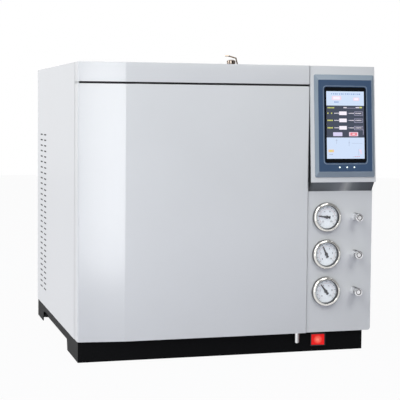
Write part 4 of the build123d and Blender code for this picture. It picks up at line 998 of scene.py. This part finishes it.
# ------------------------------------------------------------------ valve knobs
class CHROMATOGRAPH_OT_knobs(Operator):
    """Fluted valve knobs"""

    bl_idname = "chromatograph.knobs"
    bl_label = "Make the valve knobs"

    def execute(self, context):
        flutes = context.scene.chromatograph_sizes.knob_flutes
        chrome = self.knob_chrome()
        dark = moulded("knob_groove_painted_shade", (0.05, 0.05, 0.055), 0.4)
        ridges = arc_tree(chrome)
        bore, bore_deep, grip_in = 3.05 * MM, 9.5 * MM, 0.35 * MM
        cap = (                      # mm inward from the rim and back from the front
            (0, 8.4), (0, 7.6), (1.0, 7.2), (1.0, 6.0), (0, 5.6), (0, 0.9), (0.3, 0.25),
            (0.9, 0), (2.3, 0), (2.6, 1.3), (3.6, 1.4), (3.9, 0.8),
        )
        # Near-black walls of the groove behind the face ring and of the recess in the face: painted
        # shade.
        bands = [0] * 9 + [1, 1] + [0] * 5 + [1, 1] + [0] * 2
        for number in (1, 2, 3):
            low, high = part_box(f"valve_{number}_knob")
            radius = (high.x - low.x) / 2
            centre = (low + high) / 2
            length = high.y - low.y
            place = frame_of((centre.x, high.y, centre.z), (0, -1, 0))
            grip = radius - grip_in
            back = [
                (0, bore_deep), (bore, bore_deep), (bore, 0), (radius - 0.8 * MM, 0),
                (radius, 0.8 * MM), (radius, 2.4 * MM), (grip, 3.0 * MM),
            ]
            front = [(radius - inward * MM, length - down * MM) for inward, down in cap]
            profile = [*back, (grip, length - 9.0 * MM), *front, (0, length - 0.7 * MM)]
            body = turned("knob_body", profile, place, [chrome, dark], bands=bands)
            span = length - 12.6 * MM
            lie = Matrix.Translation((centre.x, high.y - 3.2 * MM - span / 2, centre.z))
            bar = (0.55 * MM, span, 0.7 * MM)
            mesh = grown_flutes(ridges, flutes, grip - 0.05 * MM, bar, lie)
            piece = join(f"knob_{number}", [body, new_piece("flutes", mesh, chrome)])
            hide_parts(f"valve_{number}_knob")
            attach(piece, f"valve_{number}_knob")
        return {"FINISHED"}

    def knob_chrome(self):
        """Bright satin plating, with painted shade along the top and bottom of each knob."""
        paint = Paint("knob_chrome", Metallic=1.0)
        _, _, tall = paint.split(paint.place())
        nearest = None
        for number in (1, 2, 3):
            low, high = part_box(f"valve_{number}_knob")
            off = (tall - (low.z + high.z) / 2).size()
            nearest = nearest.at_most(off) if nearest else off
        # Painted shade: the plating darkens towards the top and bottom of each knob.
        edge = ((nearest / ((high.z - low.z) / 2) - 0.84) / 0.1).at_least(0.0).at_most(1.0)
        paint.set(
            Base_Color=paint.mix(edge, (0.97, 0.97, 0.98), (0.22, 0.22, 0.24)),
            Roughness=0.22 + paint.smears() * 0.08,
        )
        return paint.material


# ------------------------------------------------------------------ screen
class CHROMATOGRAPH_OT_screen(Operator):
    """Bezel, glass and lit display of the touch screen"""

    bl_idname = "chromatograph.screen"
    bl_label = "Make the screen"

    def execute(self, context):
        finish = context.scene.chromatograph_finish
        border = moulded("screen_border", finish.bezel, 0.3, 1800.0, 0.06, coat=0.4)
        film = moulded("screen_film", finish.screen_face, 0.36, 1500.0, 0.05, coat=0.2)
        line = moulded("screen_line", (0.2, 0.26, 0.33), 0.35)
        up = Vector((0, sin(FASCIA_TILT), cos(FASCIA_TILT)))
        out = Vector((0, -cos(FASCIA_TILT), sin(FASCIA_TILT)))
        low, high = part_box("screen_bezel")
        foot = Vector(((low.x + high.x) / 2, FASCIA_LOW.y, FASCIA_LOW.z))
        width, tall, bottom = 124.5, 199.0, 10.0
        opening, opening_tall, opening_up = 87.0, 147.0, 27.5
        centre = foot + up * (bottom + tall / 2) * MM
        place = frame_of(centre, out) @ Matrix.Scale(MM, 4)
        window = (0.0, -tall / 2 + opening_up + opening_tall / 2)
        # Each ring: mm less than the border's size, corner radius, height
        border_rings = (
            (0, 0, 3.0, 0.0), (0, 0, 3.0, 1.0), (0.8, 0.8, 2.8, 1.8), (10.4, 18.0, 2.4, 5.2),
            (11.6, 19.6, 2.2, 5.75), (12.6, 20.8, 2.0, 5.9), (13.2, 21.4, 2.0, 5.7),
        )
        # The same with mm more than the window's size
        behind_rings = ((14.0, 24.0, 4.0, -30.0), (14.0, 24.0, 4.0, 0.0))
        window_rings = (
            (5.0, 5.4, 6.4, 5.7), (4.4, 4.8, 6.2, 6.0), (3.0, 3.4, 5.8, 6.0), (2.4, 2.8, 5.6, 5.7),
            (0, 0, 5.0, 5.6), (0, 0, 5.0, 4.6),
        )

        def round_window(sizes):
            return [rounded(opening + w, opening_tall + t, r, h, window) for w, t, r, h in sizes]

        rings = round_window(behind_rings)
        rings += [rounded(width - w, tall - t, r, h) for w, t, r, h in border_rings]
        rings += round_window(window_rings)
        bands = [0] * 8 + [1, 2, 2, 2, 1, 1]
        mesh = mesh_of("screen_frame", *stacked(rings, place, bands), smooth=22)
        bezel = new_piece("screen_frame", mesh, [border, film, line])
        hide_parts("screen_bezel")
        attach(bezel, CABINET)
        glass = Paint("screen_glass", Roughness=0.05, Specular_IOR_Level=0.25)
        glass.shader.inputs["Base Color"].default_value = (0.003, 0.004, 0.006, 1.0)
        smear = glass.noise(glass.place(), 60.0, 3.0)
        glass.set(Roughness=0.04 + smear * 0.05)
        paint_nodes(glass.material, "screen_glass")
        self.display(place, window)
        self.lamps(place, tall)
        return {"FINISHED"}

    def display(self, place, window):
        """Lit picture: panels, readings, buttons and lines, all plain shapes."""
        glass_top = 5.6
        sky = glow("display_sky", (0.66, 0.78, 0.99), 0.95)
        slate = glow("display_slate", (0.075, 0.088, 0.125), 0.9)
        yellow = glow("display_yellow", (0.72, 0.75, 0.2), 0.95)
        white = glow("display_white", (0.93, 0.88, 1.0), 1.0)
        lilac = glow("display_lilac", (0.72, 0.68, 0.93), 0.95)
        red = glow("display_red", (0.88, 0.25, 0.3), 0.95)
        pink = glow("display_pink", (0.93, 0.72, 0.86), 0.95)
        blue = glow("display_blue", (0.12, 0.25, 0.62), 0.9)
        grey = glow("display_grey", (0.35, 0.4, 0.55), 0.9)
        orange = glow("display_orange", (0.93, 0.6, 0.4), 0.95)
        paints = [sky, slate, yellow, white, lilac, red, pink, blue, grey, orange]
        left, top = -39.2, window[1] + 65.3
        tiles = []

        def tile(paint, x, y, w, h, level=0.2, corner=0.0):
            tiles.append((paint, x, y, w, h, level, corner))

        def row(count, paint, x, y, w, h, pitch=2.4):
            for index in range(count):
                tile(paint, x + index * pitch, y, w, h)

        tile(sky, 0, 0, 78.4, 130.6, 0.1, 0.3)
        tile(slate, 0, 27.6, 78.4, 62.0, 0.16)
        for index in range(15):
            tile(blue, 10 + index * 4.1, 4.4, 1.6 + index % 3 * 0.7, 1.5)
        tile(pink, 11.5, 9.0, 19.5, 8.2, 0.2, 1.6)
        tile(white, 14.0, 10.4, 14.0, 5.2, 0.26, 1.0)
        tile(pink, 56.0, 11.8, 12.5, 6.2, 0.2, 1.6)
        tile(white, 58.0, 13.0, 8.5, 3.6, 0.26, 1.0)
        row(4, blue, 16.4, 19.8, 1.5, 2.2)
        row(5, yellow, 2.2, 31.0, 2.2, 2.0, 2.9)
        row(3, white, 35.5, 30.6, 1.8, 2.0, 2.3)
        tile(lilac, 42.6, 32.3, 17.5, 0.4)
        row(3, white, 61.0, 30.2, 2.0, 2.2, 2.6)
        tile(yellow, 69.0, 29.8, 5.0, 2.6)
        for height, names, pitch in ((41.4, 2, 7.6), (55.2, 4, 2.9), (69.6, 4, 2.9)):
            row(names, yellow, 1.8, height, 2.2, 2.4, pitch)
            row(4, white, 16.2, height + 0.4, 1.7, 1.5)
            tile(white, 26.2, height - 2.4, 15.6, 7.0, 0.24, 0.5)
            tile(lilac, 44.0, height + 0.8, 2.2, 0.6)
            row(4, white, 47.6, height + 0.4, 1.7, 1.5)
            for x, y, w, h in (
                (57.6, -2.2, 18.0, 0.45), (57.6, 4.6, 18.0, 0.45), (57.6, -2.2, 0.45, 7.0),
                (75.2, -2.2, 0.45, 7.25),
            ):
                tile(lilac, x, height + y, w, h)
            row(5, white, 60.4, height + 0.2, 1.5, 2.0, 2.6)
        tile(lilac, 13.2, 79.4, 19.2, 7.4, 0.24, 0.6)
        tile(pink, 46.4, 79.0, 19.0, 8.0, 0.2, 0.8)
        tile(red, 49.0, 80.0, 14.0, 6.0, 0.26, 0.6)
        tile(white, 53.2, 82.2, 5.8, 1.6, 0.3)
        tile(lilac, 76.0, 74.0, 0.5, 10.0)
        for line in (
            (20.0, 92.6, 0.5, 9.0), (17.6, 94.6, 5.0, 0.45), (46.0, 95.0, 0.5, 11.0),
            (44.4, 99.6, 4.0, 0.5), (52.0, 100.6, 22.0, 0.35), (66.0, 112.0, 0.45, 12.0),
            (54.0, 127.0, 14.0, 0.45),
        ):
            tile(grey, *line)
        tile(orange, 3.0, 113.0, 11.5, 5.0, 0.24, 0.6)
        tile(yellow, 5.4, 114.4, 6.2, 2.2, 0.28)
        for index in range(3):
            tile(pink, 67.0 + index * 1.6, 113.0 + index * 3.2, 5.0 - index, 2.4)
            tile(red, 58.0 + index * 4.0, 126.0, 2.6, 0.7)
            tile(grey, 5.0 + index * 2.6, 121.6, 1.6, 1.3)
        points, faces, marks = [], [], []
        for paint, x, y, w, h, level, corner in tiles:
            middle = (left + x + w / 2, top - y - h / 2)
            rings = [
                rounded(w, h, corner + 0.01, glass_top + rise, middle, arc=2 if corner else 1)
                for rise in (-0.02, level)
            ]
            more, quads, _ = stacked(rings, place, closed=(False, True))
            base = len(points)
            points += more
            faces += [tuple(base + corner_index for corner_index in quad) for quad in quads]
            marks += [paints.index(paint)] * len(quads)
        mesh = mesh_of("display_picture", points, faces, marks)
        picture = new_piece("display_picture", mesh, paints)
        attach(picture, CABINET)

    def lamps(self, place, tall):
        """Three small lamps under the window."""
        lit = glow("lamp_white", (0.85, 1.0, 0.97), 2.2)
        ring = moulded("lamp_ring", (0.02, 0.03, 0.05), 0.4)
        parts = []
        up, out = 19.0, 5.7
        profile = [
            (0, -0.1), (1.9, -0.1), (1.9, 0.12), (1.45, 0.2), (1.4, 0.05), (1.2, 0.3), (0.7, 0.5),
            (0, 0.55),
        ]
        bands = [0] * 4 + [1] * 3
        for x in (-13.0, 2.4, 17.4):
            spot = place @ Matrix.Translation((x, -tall / 2 + up, out))
            parts.append(turned("lamp", profile, spot, [ring, lit], steps=24, bands=bands))
        whole = join("screen_lamps", parts)
        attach(whole, CABINET)


# ------------------------------------------------------------------ rocker switch
class CHROMATOGRAPH_OT_switch(Operator):
    """Lit rocker of the power switch"""

    bl_idname = "chromatograph.switch"
    bl_label = "Finish the switch"

    def execute(self, context):
        red = Paint(
            "rocker_red", Roughness=0.3, Coat_Weight=0.2, Specular_IOR_Level=0.25,
            Emission_Strength=0.8,
        )
        red.shader.inputs["Base Color"].default_value = (0.4, 0.002, 0.002, 1.0)
        low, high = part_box("power_rocker")
        centre = (low + high) / 2
        glow_radius = 9.0 * MM
        x, _, z = red.split(red.place(offset=(-centre.x, -centre.y, -centre.z)))
        away = ((x * x + z * z) ** 0.5) / glow_radius
        shine = (1.0 - away).at_least(0.0)
        grain = red.noise(red.place(), 420.0, 2.0)
        red.set(Emission_Color=red.mix(shine * grain * 1.8, (0.62, 0.0, 0.0), (1.0, 0.32, 0.22)))
        paint_nodes(red.material, "power_rocker")
        return {"FINISHED"}


# ------------------------------------------------------------------ latch spring
class CHROMATOGRAPH_OT_spring(Operator):
    """Coil spring of the door latch, wound with a closed turn at each end"""

    bl_idname = "chromatograph.spring"
    bl_label = "Wind the latch spring"

    def execute(self, context):
        low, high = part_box("latch_spring")
        middle = (low + high) / 2
        wire, turns, steps = 0.45 * MM, 7, 24
        radius = (high.x - low.x) / 2 - wire
        rise = high.z - low.z - 2 * wire
        path = []
        for step in range(turns * steps + 1):
            share = step / (turns * steps)
            lift = min(1.0, max(0.0, (share * turns - 1) / (turns - 2)))
            angle = 2 * pi * step / steps
            ring = wire * 1.6 * (share - lift)
            z = low.z + wire + rise * lift + ring
            path.append((middle.x + radius * cos(angle), middle.y + radius * sin(angle), z))
        steel = brushed_metal("spring_wire", (0.42, 0.42, 0.44), 0.25, (400, 400, 400))
        spring = tube("coil_spring", path, wire, steel, steps=8)
        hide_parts("latch_spring")
        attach(spring, "oven_door")
        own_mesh(spring)
        return {"FINISHED"}


# ------------------------------------------------------------------ septum nut and vent tube
class CHROMATOGRAPH_OT_nut(Operator):
    """Knurled septum nut and the vent tube beside it"""

    bl_idname = "chromatograph.nut"
    bl_label = "Make the septum nut"

    def execute(self, context):
        flutes = context.scene.chromatograph_sizes.nut_flutes
        steel = polished("nut_steel", (0.4, 0.34, 0.29), 0.2)
        ridges = arc_tree(steel)
        radius = (NUT_HIGH.x - NUT_LOW.x) / 2
        base = NUT_LOW.z
        place = frame_of((NUT_AXIS.x, NUT_AXIS.y, base), (0, 0, 1))
        bore, bore_deep = 5.05 * MM, 14.0 * MM
        tube_bore = 1.6 * MM
        core, neck = radius - 0.7 * MM, radius - 2.4 * MM
        profile = [
            (tube_bore, bore_deep), (tube_bore, 19.5 * MM), (3.0 * MM, 21.0 * MM),
            (neck, 20.4 * MM), (core, 19.2 * MM), (core, 13.2 * MM), (neck, 11.4 * MM),
            (neck, 10.4 * MM), (core, 8.6 * MM), (core, 0.4 * MM), (core - 0.4 * MM, 0),
            (bore, 0), (bore, bore_deep),
        ]
        rings = [circle(r, h, 72) for r, h in profile]
        mesh = mesh_of("nut_body", *stacked(rings, place, joined=True))
        parts = [new_piece("nut_body", mesh, steel)]
        upright = place @ Matrix.Rotation(radians(90), 4, "X")
        for low, high in ((0.6 * MM, 8.4 * MM), (13.4 * MM, 19.0 * MM)):
            bar = (1.5 * MM, high - low, 1.4 * MM)
            lie = upright @ Matrix.Translation((0, (low + high) / 2, 0))
            mesh = grown_flutes(ridges, flutes, core - 0.1 * MM, bar, lie)
            parts.append(new_piece("flutes", mesh, steel))
        nut = join("nut", parts)
        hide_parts("septum_nut")
        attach(nut, "septum_nut")
        tube_steel = brushed_metal(
            "tube_steel", (0.4, 0.33, 0.27), 0.25, (60, 60, 60), stain=(0.3, 0.2, 0.12)
        )
        paint_nodes(tube_steel, "purge_line")
        return {"FINISHED"}


# ------------------------------------------------------------------ column
class CHROMATOGRAPH_OT_column(Operator):
    """Wound capillary column on its wire cage"""

    bl_idname = "chromatograph.column"
    bl_label = "Make the column"

    def execute(self, context):
        sizes = context.scene.chromatograph_sizes
        silica = Paint("column_silica", Coat_Weight=0.5, Coat_Roughness=0.1)
        here = silica.place()
        fleck = silica.noise(here, 300.0, 2.0)
        silica.set(
            Base_Color=silica.mix(fleck, (0.2, 0.07, 0.012), (0.42, 0.17, 0.04)),
            Roughness=0.25 + fleck * 0.1,
        )
        wire = brushed_metal("cage_wire", (0.6, 0.6, 0.58), 0.25, (60, 60, 60))
        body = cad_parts["capillary_column"]
        oven_low, oven_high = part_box("oven_liner")
        coil_y, coil_z = -0.119, 0.255
        middle = Vector(((oven_low.x + oven_high.x) / 2, coil_y, coil_z))
        radius, width = 95.0 * MM, 30.0 * MM
        layer_thick = 1.5 * MM
        outer, inner = radius - 0.9 * MM, radius - 9.1 * MM
        half_cage, spokes, ring_steps = 14.0 * MM, 8, 96
        spoke_wire, ring_wire = 0.8 * MM, 0.9 * MM
        turn = frame_of(middle, (0, -1, 0))

        def on_cage(reach, angle, side):
            return turn @ Vector((reach * cos(angle), reach * sin(angle), side * half_cage))

        tree = winding_tree(silica.material)
        parts = []
        for layer, shift in ((0, 0.0), (1, 0.4 * MM)):
            span = width - 5.0 * MM - shift
            values = {
                "Turns": float(sizes.column_turns), "Height": span, "Tube": sizes.column_wire,
                "Radius": radius - 1.6 * MM - layer * layer_thick,
            }
            mesh = tree.grow("winding", values)
            mesh.transform(turn @ Matrix.Translation((0, 0, -span / 2)))
            parts.append(new_piece("winding", mesh, silica.material))
        for side in (-1, 1):
            for reach in (outer, inner):
                ring = [
                    on_cage(reach, 2 * pi * step / ring_steps, side)
                    for step in range(ring_steps + 1)
                ]
                parts.append(tube("cage", ring, ring_wire, wire, steps=8, ends=False))
        for index in range(spokes):
            angle = 2 * pi * (index + 0.5) / spokes
            for reach in (radius - 4.3 * MM, inner):
                ends = [on_cage(reach, angle, side) for side in (-1, 1)]
                parts.append(tube("cage", ends, spoke_wire, wire, steps=8))
            for side in (-1, 1):
                legs = [on_cage(reach, angle, side) for reach in (outer, inner)]
                parts.append(tube("cage", legs, spoke_wire, wire, steps=8))
        fitting_in = 27.0 * MM       # detector's column fitting from its block's left side
        for name, side in (("injector_body", 1), ("detector_body", -1)):
            low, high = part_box(name)
            x = (low.x + high.x) / 2 if side > 0 else low.x + fitting_in
            y = (low.y + high.y) / 2
            path = smooth_path([
                middle + Vector((side * (radius - 2 * MM), 0, -20 * MM)),
                middle + Vector((side * (radius - 1 * MM), 0, 0)),
                middle + Vector((side * (radius + 2 * MM), 0, 34 * MM)),
                Vector((x, y, middle.z + 40 * MM)),
                Vector((x, y, middle.z + 80 * MM)),
                Vector((x, y, low.z + 0.2 * MM)),
            ])
            parts.append(tube("tail", path, sizes.column_wire, silica.material, steps=8))
        column = join("column", parts)
        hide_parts(body.name)
        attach(column, CABINET)
        return {"FINISHED"}


# ------------------------------------------------------------------ vent slots, painted shade
class CHROMATOGRAPH_OT_vents(Operator):
    """Near-black plates in the slots of the side panels: painted shade inside the vents"""

    bl_idname = "chromatograph.vents"
    bl_label = "Fit the vent screens"

    def execute(self, context):
        # Near-black plates that fill the vent slots: painted shade.
        slot_shade_black = moulded("vent_slot_shade", (0.004, 0.004, 0.005), 0.85, 1600.0, 0.6)
        length, tall, corner, thick = 29.9 * MM, 2.9 * MM, 0.2 * MM, 0.8 * MM
        bottom, pitch = 77.7 * MM, 12.1 * MM
        from_rear = (114.0 * MM, 61.5 * MM)
        left_rows, right_rows = 29, 12
        turn = frame_of((0, 0, 0), (-1, 0, 0), (0, 1, 0))
        rings = [rounded(length, tall, corner, depth, arc=1) for depth in (-thick, 0.0)]
        mesh = mesh_of("screen_pattern", *stacked(rings, turn))
        pattern = new_piece("screen_pattern", mesh, slot_shade_black)
        tree = copies_tree(slot_shade_black)
        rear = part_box("rear_panel")[1].y
        for name, panel, rows, half_turn in (
            ("left_screens", "left_side_panel", left_rows, 0.0),
            ("right_screens", "right_side_panel", right_rows, pi),
        ):
            low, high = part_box(panel)
            x = high.x if half_turn else low.x
            heights = [bottom + row * pitch for row in range(rows)]
            places = [(x, rear - inset, z) for inset in from_rear for z in heights]
            mesh = grown_copies(tree, name, pattern, places, (0, 0, half_turn), 1.0)
            slot_shades = new_piece(name, mesh, slot_shade_black)
            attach(slot_shades, CABINET)
        discard(pattern)
        return {"FINISHED"}


# ------------------------------------------------------------------ screws
class CHROMATOGRAPH_OT_screws(Operator):
    """Case screws, all grown from one pattern"""

    bl_idname = "chromatograph.screws"
    bl_label = "Set the screws"

    def execute(self, context):
        steel = polished("screw_steel", (0.55, 0.55, 0.55), 0.25)
        radius = context.scene.chromatograph_sizes.screw_radius
        steps = 32
        rings = [circle(1.0, -0.15, steps), circle(1.0, 0.12, steps)]
        for angle in (radians(25), radians(50), radians(72)):
            rings.append(circle(cos(angle) ** 0.6, 0.12 + 0.5 * sin(angle), steps))
        rings += [cross_outline(0.55, 0.14, 0.6, steps), cross_outline(0.4, 0.1, 0.15, steps)]
        mesh = mesh_of("screw_pattern", *stacked(rings, Matrix.Identity(4)))
        pattern = new_piece("screw_pattern", mesh, steel)
        tree = copies_tree(steel)
        low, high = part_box("rear_panel")
        inset = 9.0 * MM
        duct_z, duct_half = 0.3, 0.05
        rear = [
            (x, high.y, z)
            for x in (low.x + inset, (low.x + high.x) / 2, high.x - inset)
            for z in (low.z + inset, (low.z + high.z) / 2, high.z - inset)
            if not (abs(x) < inset and abs(z - duct_z) < duct_half)
        ]
        low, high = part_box("mains_inlet")
        inset = 5.0 * MM
        inlet = [(x, high.y, (low.z + high.z) / 2) for x in (low.x + inset, high.x - inset)]
        low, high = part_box("top_deck")
        inset = 14.0 * MM
        deck = [
            (x, y, high.z)
            for x in (low.x + inset, high.x - inset)
            for y in (low.y + inset, (low.y + high.y) / 2, high.y - inset)
        ]
        low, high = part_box("fan_baffle")
        inset, above, below = 28.0 * MM, 16.0 * MM, 2.0 * MM
        baffle = [
            (x, low.y, z)
            for x in (low.x + inset, high.x - inset)
            for z in (low.z + above, high.z - below)
        ]
        for name, places, turn, size in (
            ("rear_screws", rear, radians(-90), 1.0),
            ("inlet_screws", inlet, radians(-90), 0.7),
            ("deck_screws", deck, 0.0, 1.0),
            ("baffle_screws", baffle, radians(90), 0.9),
        ):
            mesh = grown_copies(tree, name, pattern, places, (turn, 0, 0), radius * size)
            mesh.shade_smooth()
            mesh.set_sharp_from_angle(angle=radians(40))
            screws = new_piece(name, mesh, steel)
            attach(screws, CABINET)
        discard(pattern)
        return {"FINISHED"}


# ------------------------------------------------------------------ stage
class CHROMATOGRAPH_OT_stage(Operator):
    """Floor, lights, sky and camera"""

    bl_idname = "chromatograph.stage"
    bl_label = "Set the stage"

    def execute(self, context):
        self.floor()
        self.sky(context)
        # name, place, point it is aimed at, size, power, colour
        for lamp in (
            ("key", (-2.4, -1.7, 2.9), (-0.1, 0.0, 0.4), (1.8, 1.8), 47.5, (1.0, 1.0, 0.98)),
            ("left_wall", (-3.2, 0.6, 1.6), (0.0, 0.0, 0.4), (2.0, 2.0), 47.0, (0.99, 0.99, 1.0)),
            ("top", (0.3, -1.2, 3.2), (0.0, 0.0, 0.5), (2.0, 2.0), 17.0, (1.0, 1.0, 1.0)),
            (
                "strip", (-0.3, -1.06, 0.37), (-0.249, -0.263, 0.37), (0.16, 0.74), 2.2,
                (0.98, 0.99, 1.0),
            ),
            ("near", (0.5, -1.75, 1.6), (0.24, -0.27, 0.4), (0.7, 0.7), 10.5, (1.0, 1.0, 0.98)),
        ):
            self.lamp(*lamp)
        self.camera(context)
        return {"FINISHED"}

    def floor(self):
        """Pale floor that shows white to the camera away from the shadow."""
        rings = [circle(6.0, -0.01, 64), circle(6.0, 0.0, 64)]
        paint = Paint("floor_white", Roughness=0.9)
        paint.shader.inputs["Base Color"].default_value = (0.28, 0.28, 0.36, 1.0)
        paint.shader.inputs["Specular IOR Level"].default_value = 0.0
        rays = add_node(paint.tree, "ShaderNodeLightPath").outputs
        seen = Wire(paint, rays["Is Camera Ray"]) + Wire(paint, rays["Is Glossy Ray"]) * 0.85
        seen = (seen + Wire(paint, rays["Is Transmission Ray"])).at_most(1.0)
        white = paint.add("ShaderNodeEmission", {"Color": (1, 1, 1, 1), "Strength": 1.0})
        ends = {0: (seen * 0.96).socket, 1: paint.shader.outputs[0], 2: white.socket}
        mixed = add_node(paint.tree, "ShaderNodeMixShader", ends)
        output = paint.tree.nodes["Material Output"]
        paint.tree.links.new(mixed.outputs[0], output.inputs["Surface"])
        mesh = mesh_of("floor", *stacked(rings, Matrix.Identity(4)))
        ground = new_piece("floor", mesh, paint.material)

    def sky(self, context):
        """White surroundings to the camera; to the object a soft sky, dimmer at the front right."""
        world = bpy.data.worlds.new("studio")
        context.scene.world = world
        world.use_nodes = True
        tree = world.node_tree

        def node(kind, values, out=0, **settings):
            return add_node(tree, kind, values, **settings).outputs[out]

        def falling(start, end, low, high):
            ends = {"From Min": start, "From Max": end, "To Min": low, "To Max": high}
            return node("ShaderNodeMapRange", {"Value": facing, **ends})

        ahead = node("ShaderNodeTexCoord", None, "Generated")
        dim_side = (0.45, -0.85, -0.1)
        values = {0: ahead, 1: dim_side}
        facing = node("ShaderNodeVectorMath", values, "Value", operation="DOT_PRODUCT")
        back = tree.nodes["Background"]
        back.inputs["Color"].default_value = (0.97, 0.98, 1.0, 1.0)
        tree.links.new(falling(-0.2, 0.9, 0.62, 0.16), back.inputs["Strength"])
        white = node("ShaderNodeBackground", {"Color": (1, 1, 1, 1)})
        rays = add_node(tree, "ShaderNodeLightPath").outputs
        values = {0: rays["Is Glossy Ray"], 1: falling(-0.4, 0.6, 0.75, 0.08)}
        shine = node("ShaderNodeMath", values, operation="MULTIPLY")
        values = {0: rays["Is Camera Ray"], 1: rays["Is Transmission Ray"]}
        clear = node("ShaderNodeMath", values, operation="MAXIMUM")
        share = node("ShaderNodeMath", {0: clear, 1: shine}, operation="MAXIMUM")
        mixed = node("ShaderNodeMixShader", {0: share, 1: back.outputs[0], 2: white})
        tree.links.new(mixed, tree.nodes["World Output"].inputs["Surface"])

    def lamp(self, name, where, target, size, power, colour):
        """Upright rectangular area light aimed at a point."""
        light = bpy.data.lights.new(name, "AREA")
        light.energy = power
        light.shape = "RECTANGLE"
        light.size, light.size_y = size
        light.color = colour
        lamp = bpy.data.objects.new(name, light)
        bpy.context.scene.collection.objects.link(lamp)
        lamp.matrix_world = frame_of(where, Vector(where) - Vector(target), (1, 0, 0.001))

    def camera(self, context):
        """Long lens a little above the middle of the case, from the left."""
        yaw, pitch, roll = radians(15.657), radians(-3.152), radians(0.468)
        ahead = Vector((sin(yaw) * cos(pitch), cos(yaw) * cos(pitch), sin(pitch)))
        level = Vector((cos(yaw), -sin(yaw), 0))
        above = level.cross(ahead)
        right = level * cos(roll) + above * sin(roll)
        up = above * cos(roll) - level * sin(roll)
        eye = bpy.data.cameras.new("camera")
        eye.lens = 103.64
        eye.sensor_width = 36.0
        eye.shift_x = 0.01697
        eye.shift_y = -0.06375
        camera = bpy.data.objects.new("camera", eye)
        bpy.context.scene.collection.objects.link(camera)
        stand = Matrix((right, up, -ahead)).transposed().to_4x4()
        stand.translation = Vector((-0.658979, -2.351353, 0.470712))
        camera.matrix_world = stand
        context.scene.camera = camera


# ------------------------------------------------------------------ panel and run
STEPS = (
    CHROMATOGRAPH_OT_case,
    CHROMATOGRAPH_OT_inside,
    CHROMATOGRAPH_OT_folds,
    CHROMATOGRAPH_OT_gauges,
    CHROMATOGRAPH_OT_knobs,
    CHROMATOGRAPH_OT_screen,
    CHROMATOGRAPH_OT_switch,
    CHROMATOGRAPH_OT_spring,
    CHROMATOGRAPH_OT_nut,
    CHROMATOGRAPH_OT_column,
    CHROMATOGRAPH_OT_vents,
    CHROMATOGRAPH_OT_screws,
    CHROMATOGRAPH_OT_stage,
)


class CHROMATOGRAPH_PT_panel(Panel):
    """Lists the sizes, colours and steps"""

    bl_idname = "CHROMATOGRAPH_PT_panel"
    bl_label = "Chromatograph"
    bl_space_type = "VIEW_3D"
    bl_region_type = "UI"
    bl_category = "Chromatograph"

    def draw(self, context):
        for group in (context.scene.chromatograph_finish, context.scene.chromatograph_sizes):
            box = self.layout.box()
            for name in group.__annotations__:
                box.prop(group, name)
        for step in STEPS:
            self.layout.operator(step.bl_idname)


CLASSES = (ChromatographFinish, ChromatographSizes, *STEPS, CHROMATOGRAPH_PT_panel)


def register():
    for one in CLASSES:
        bpy.utils.register_class(one)
    bpy.types.Scene.chromatograph_finish = PointerProperty(type=ChromatographFinish)
    bpy.types.Scene.chromatograph_sizes = PointerProperty(type=ChromatographSizes)


def unregister():
    del bpy.types.Scene.chromatograph_sizes
    del bpy.types.Scene.chromatograph_finish
    for one in reversed(CLASSES):
        bpy.utils.unregister_class(one)


def main():
    """Registers the add-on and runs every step."""
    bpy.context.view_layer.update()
    register()
    bpy.context.scene.view_settings.view_transform = "Standard"
    for step in STEPS:
        group, name = step.bl_idname.split(".")
        getattr(getattr(bpy.ops, group), name)()


if __name__ == "__main__":
    main()
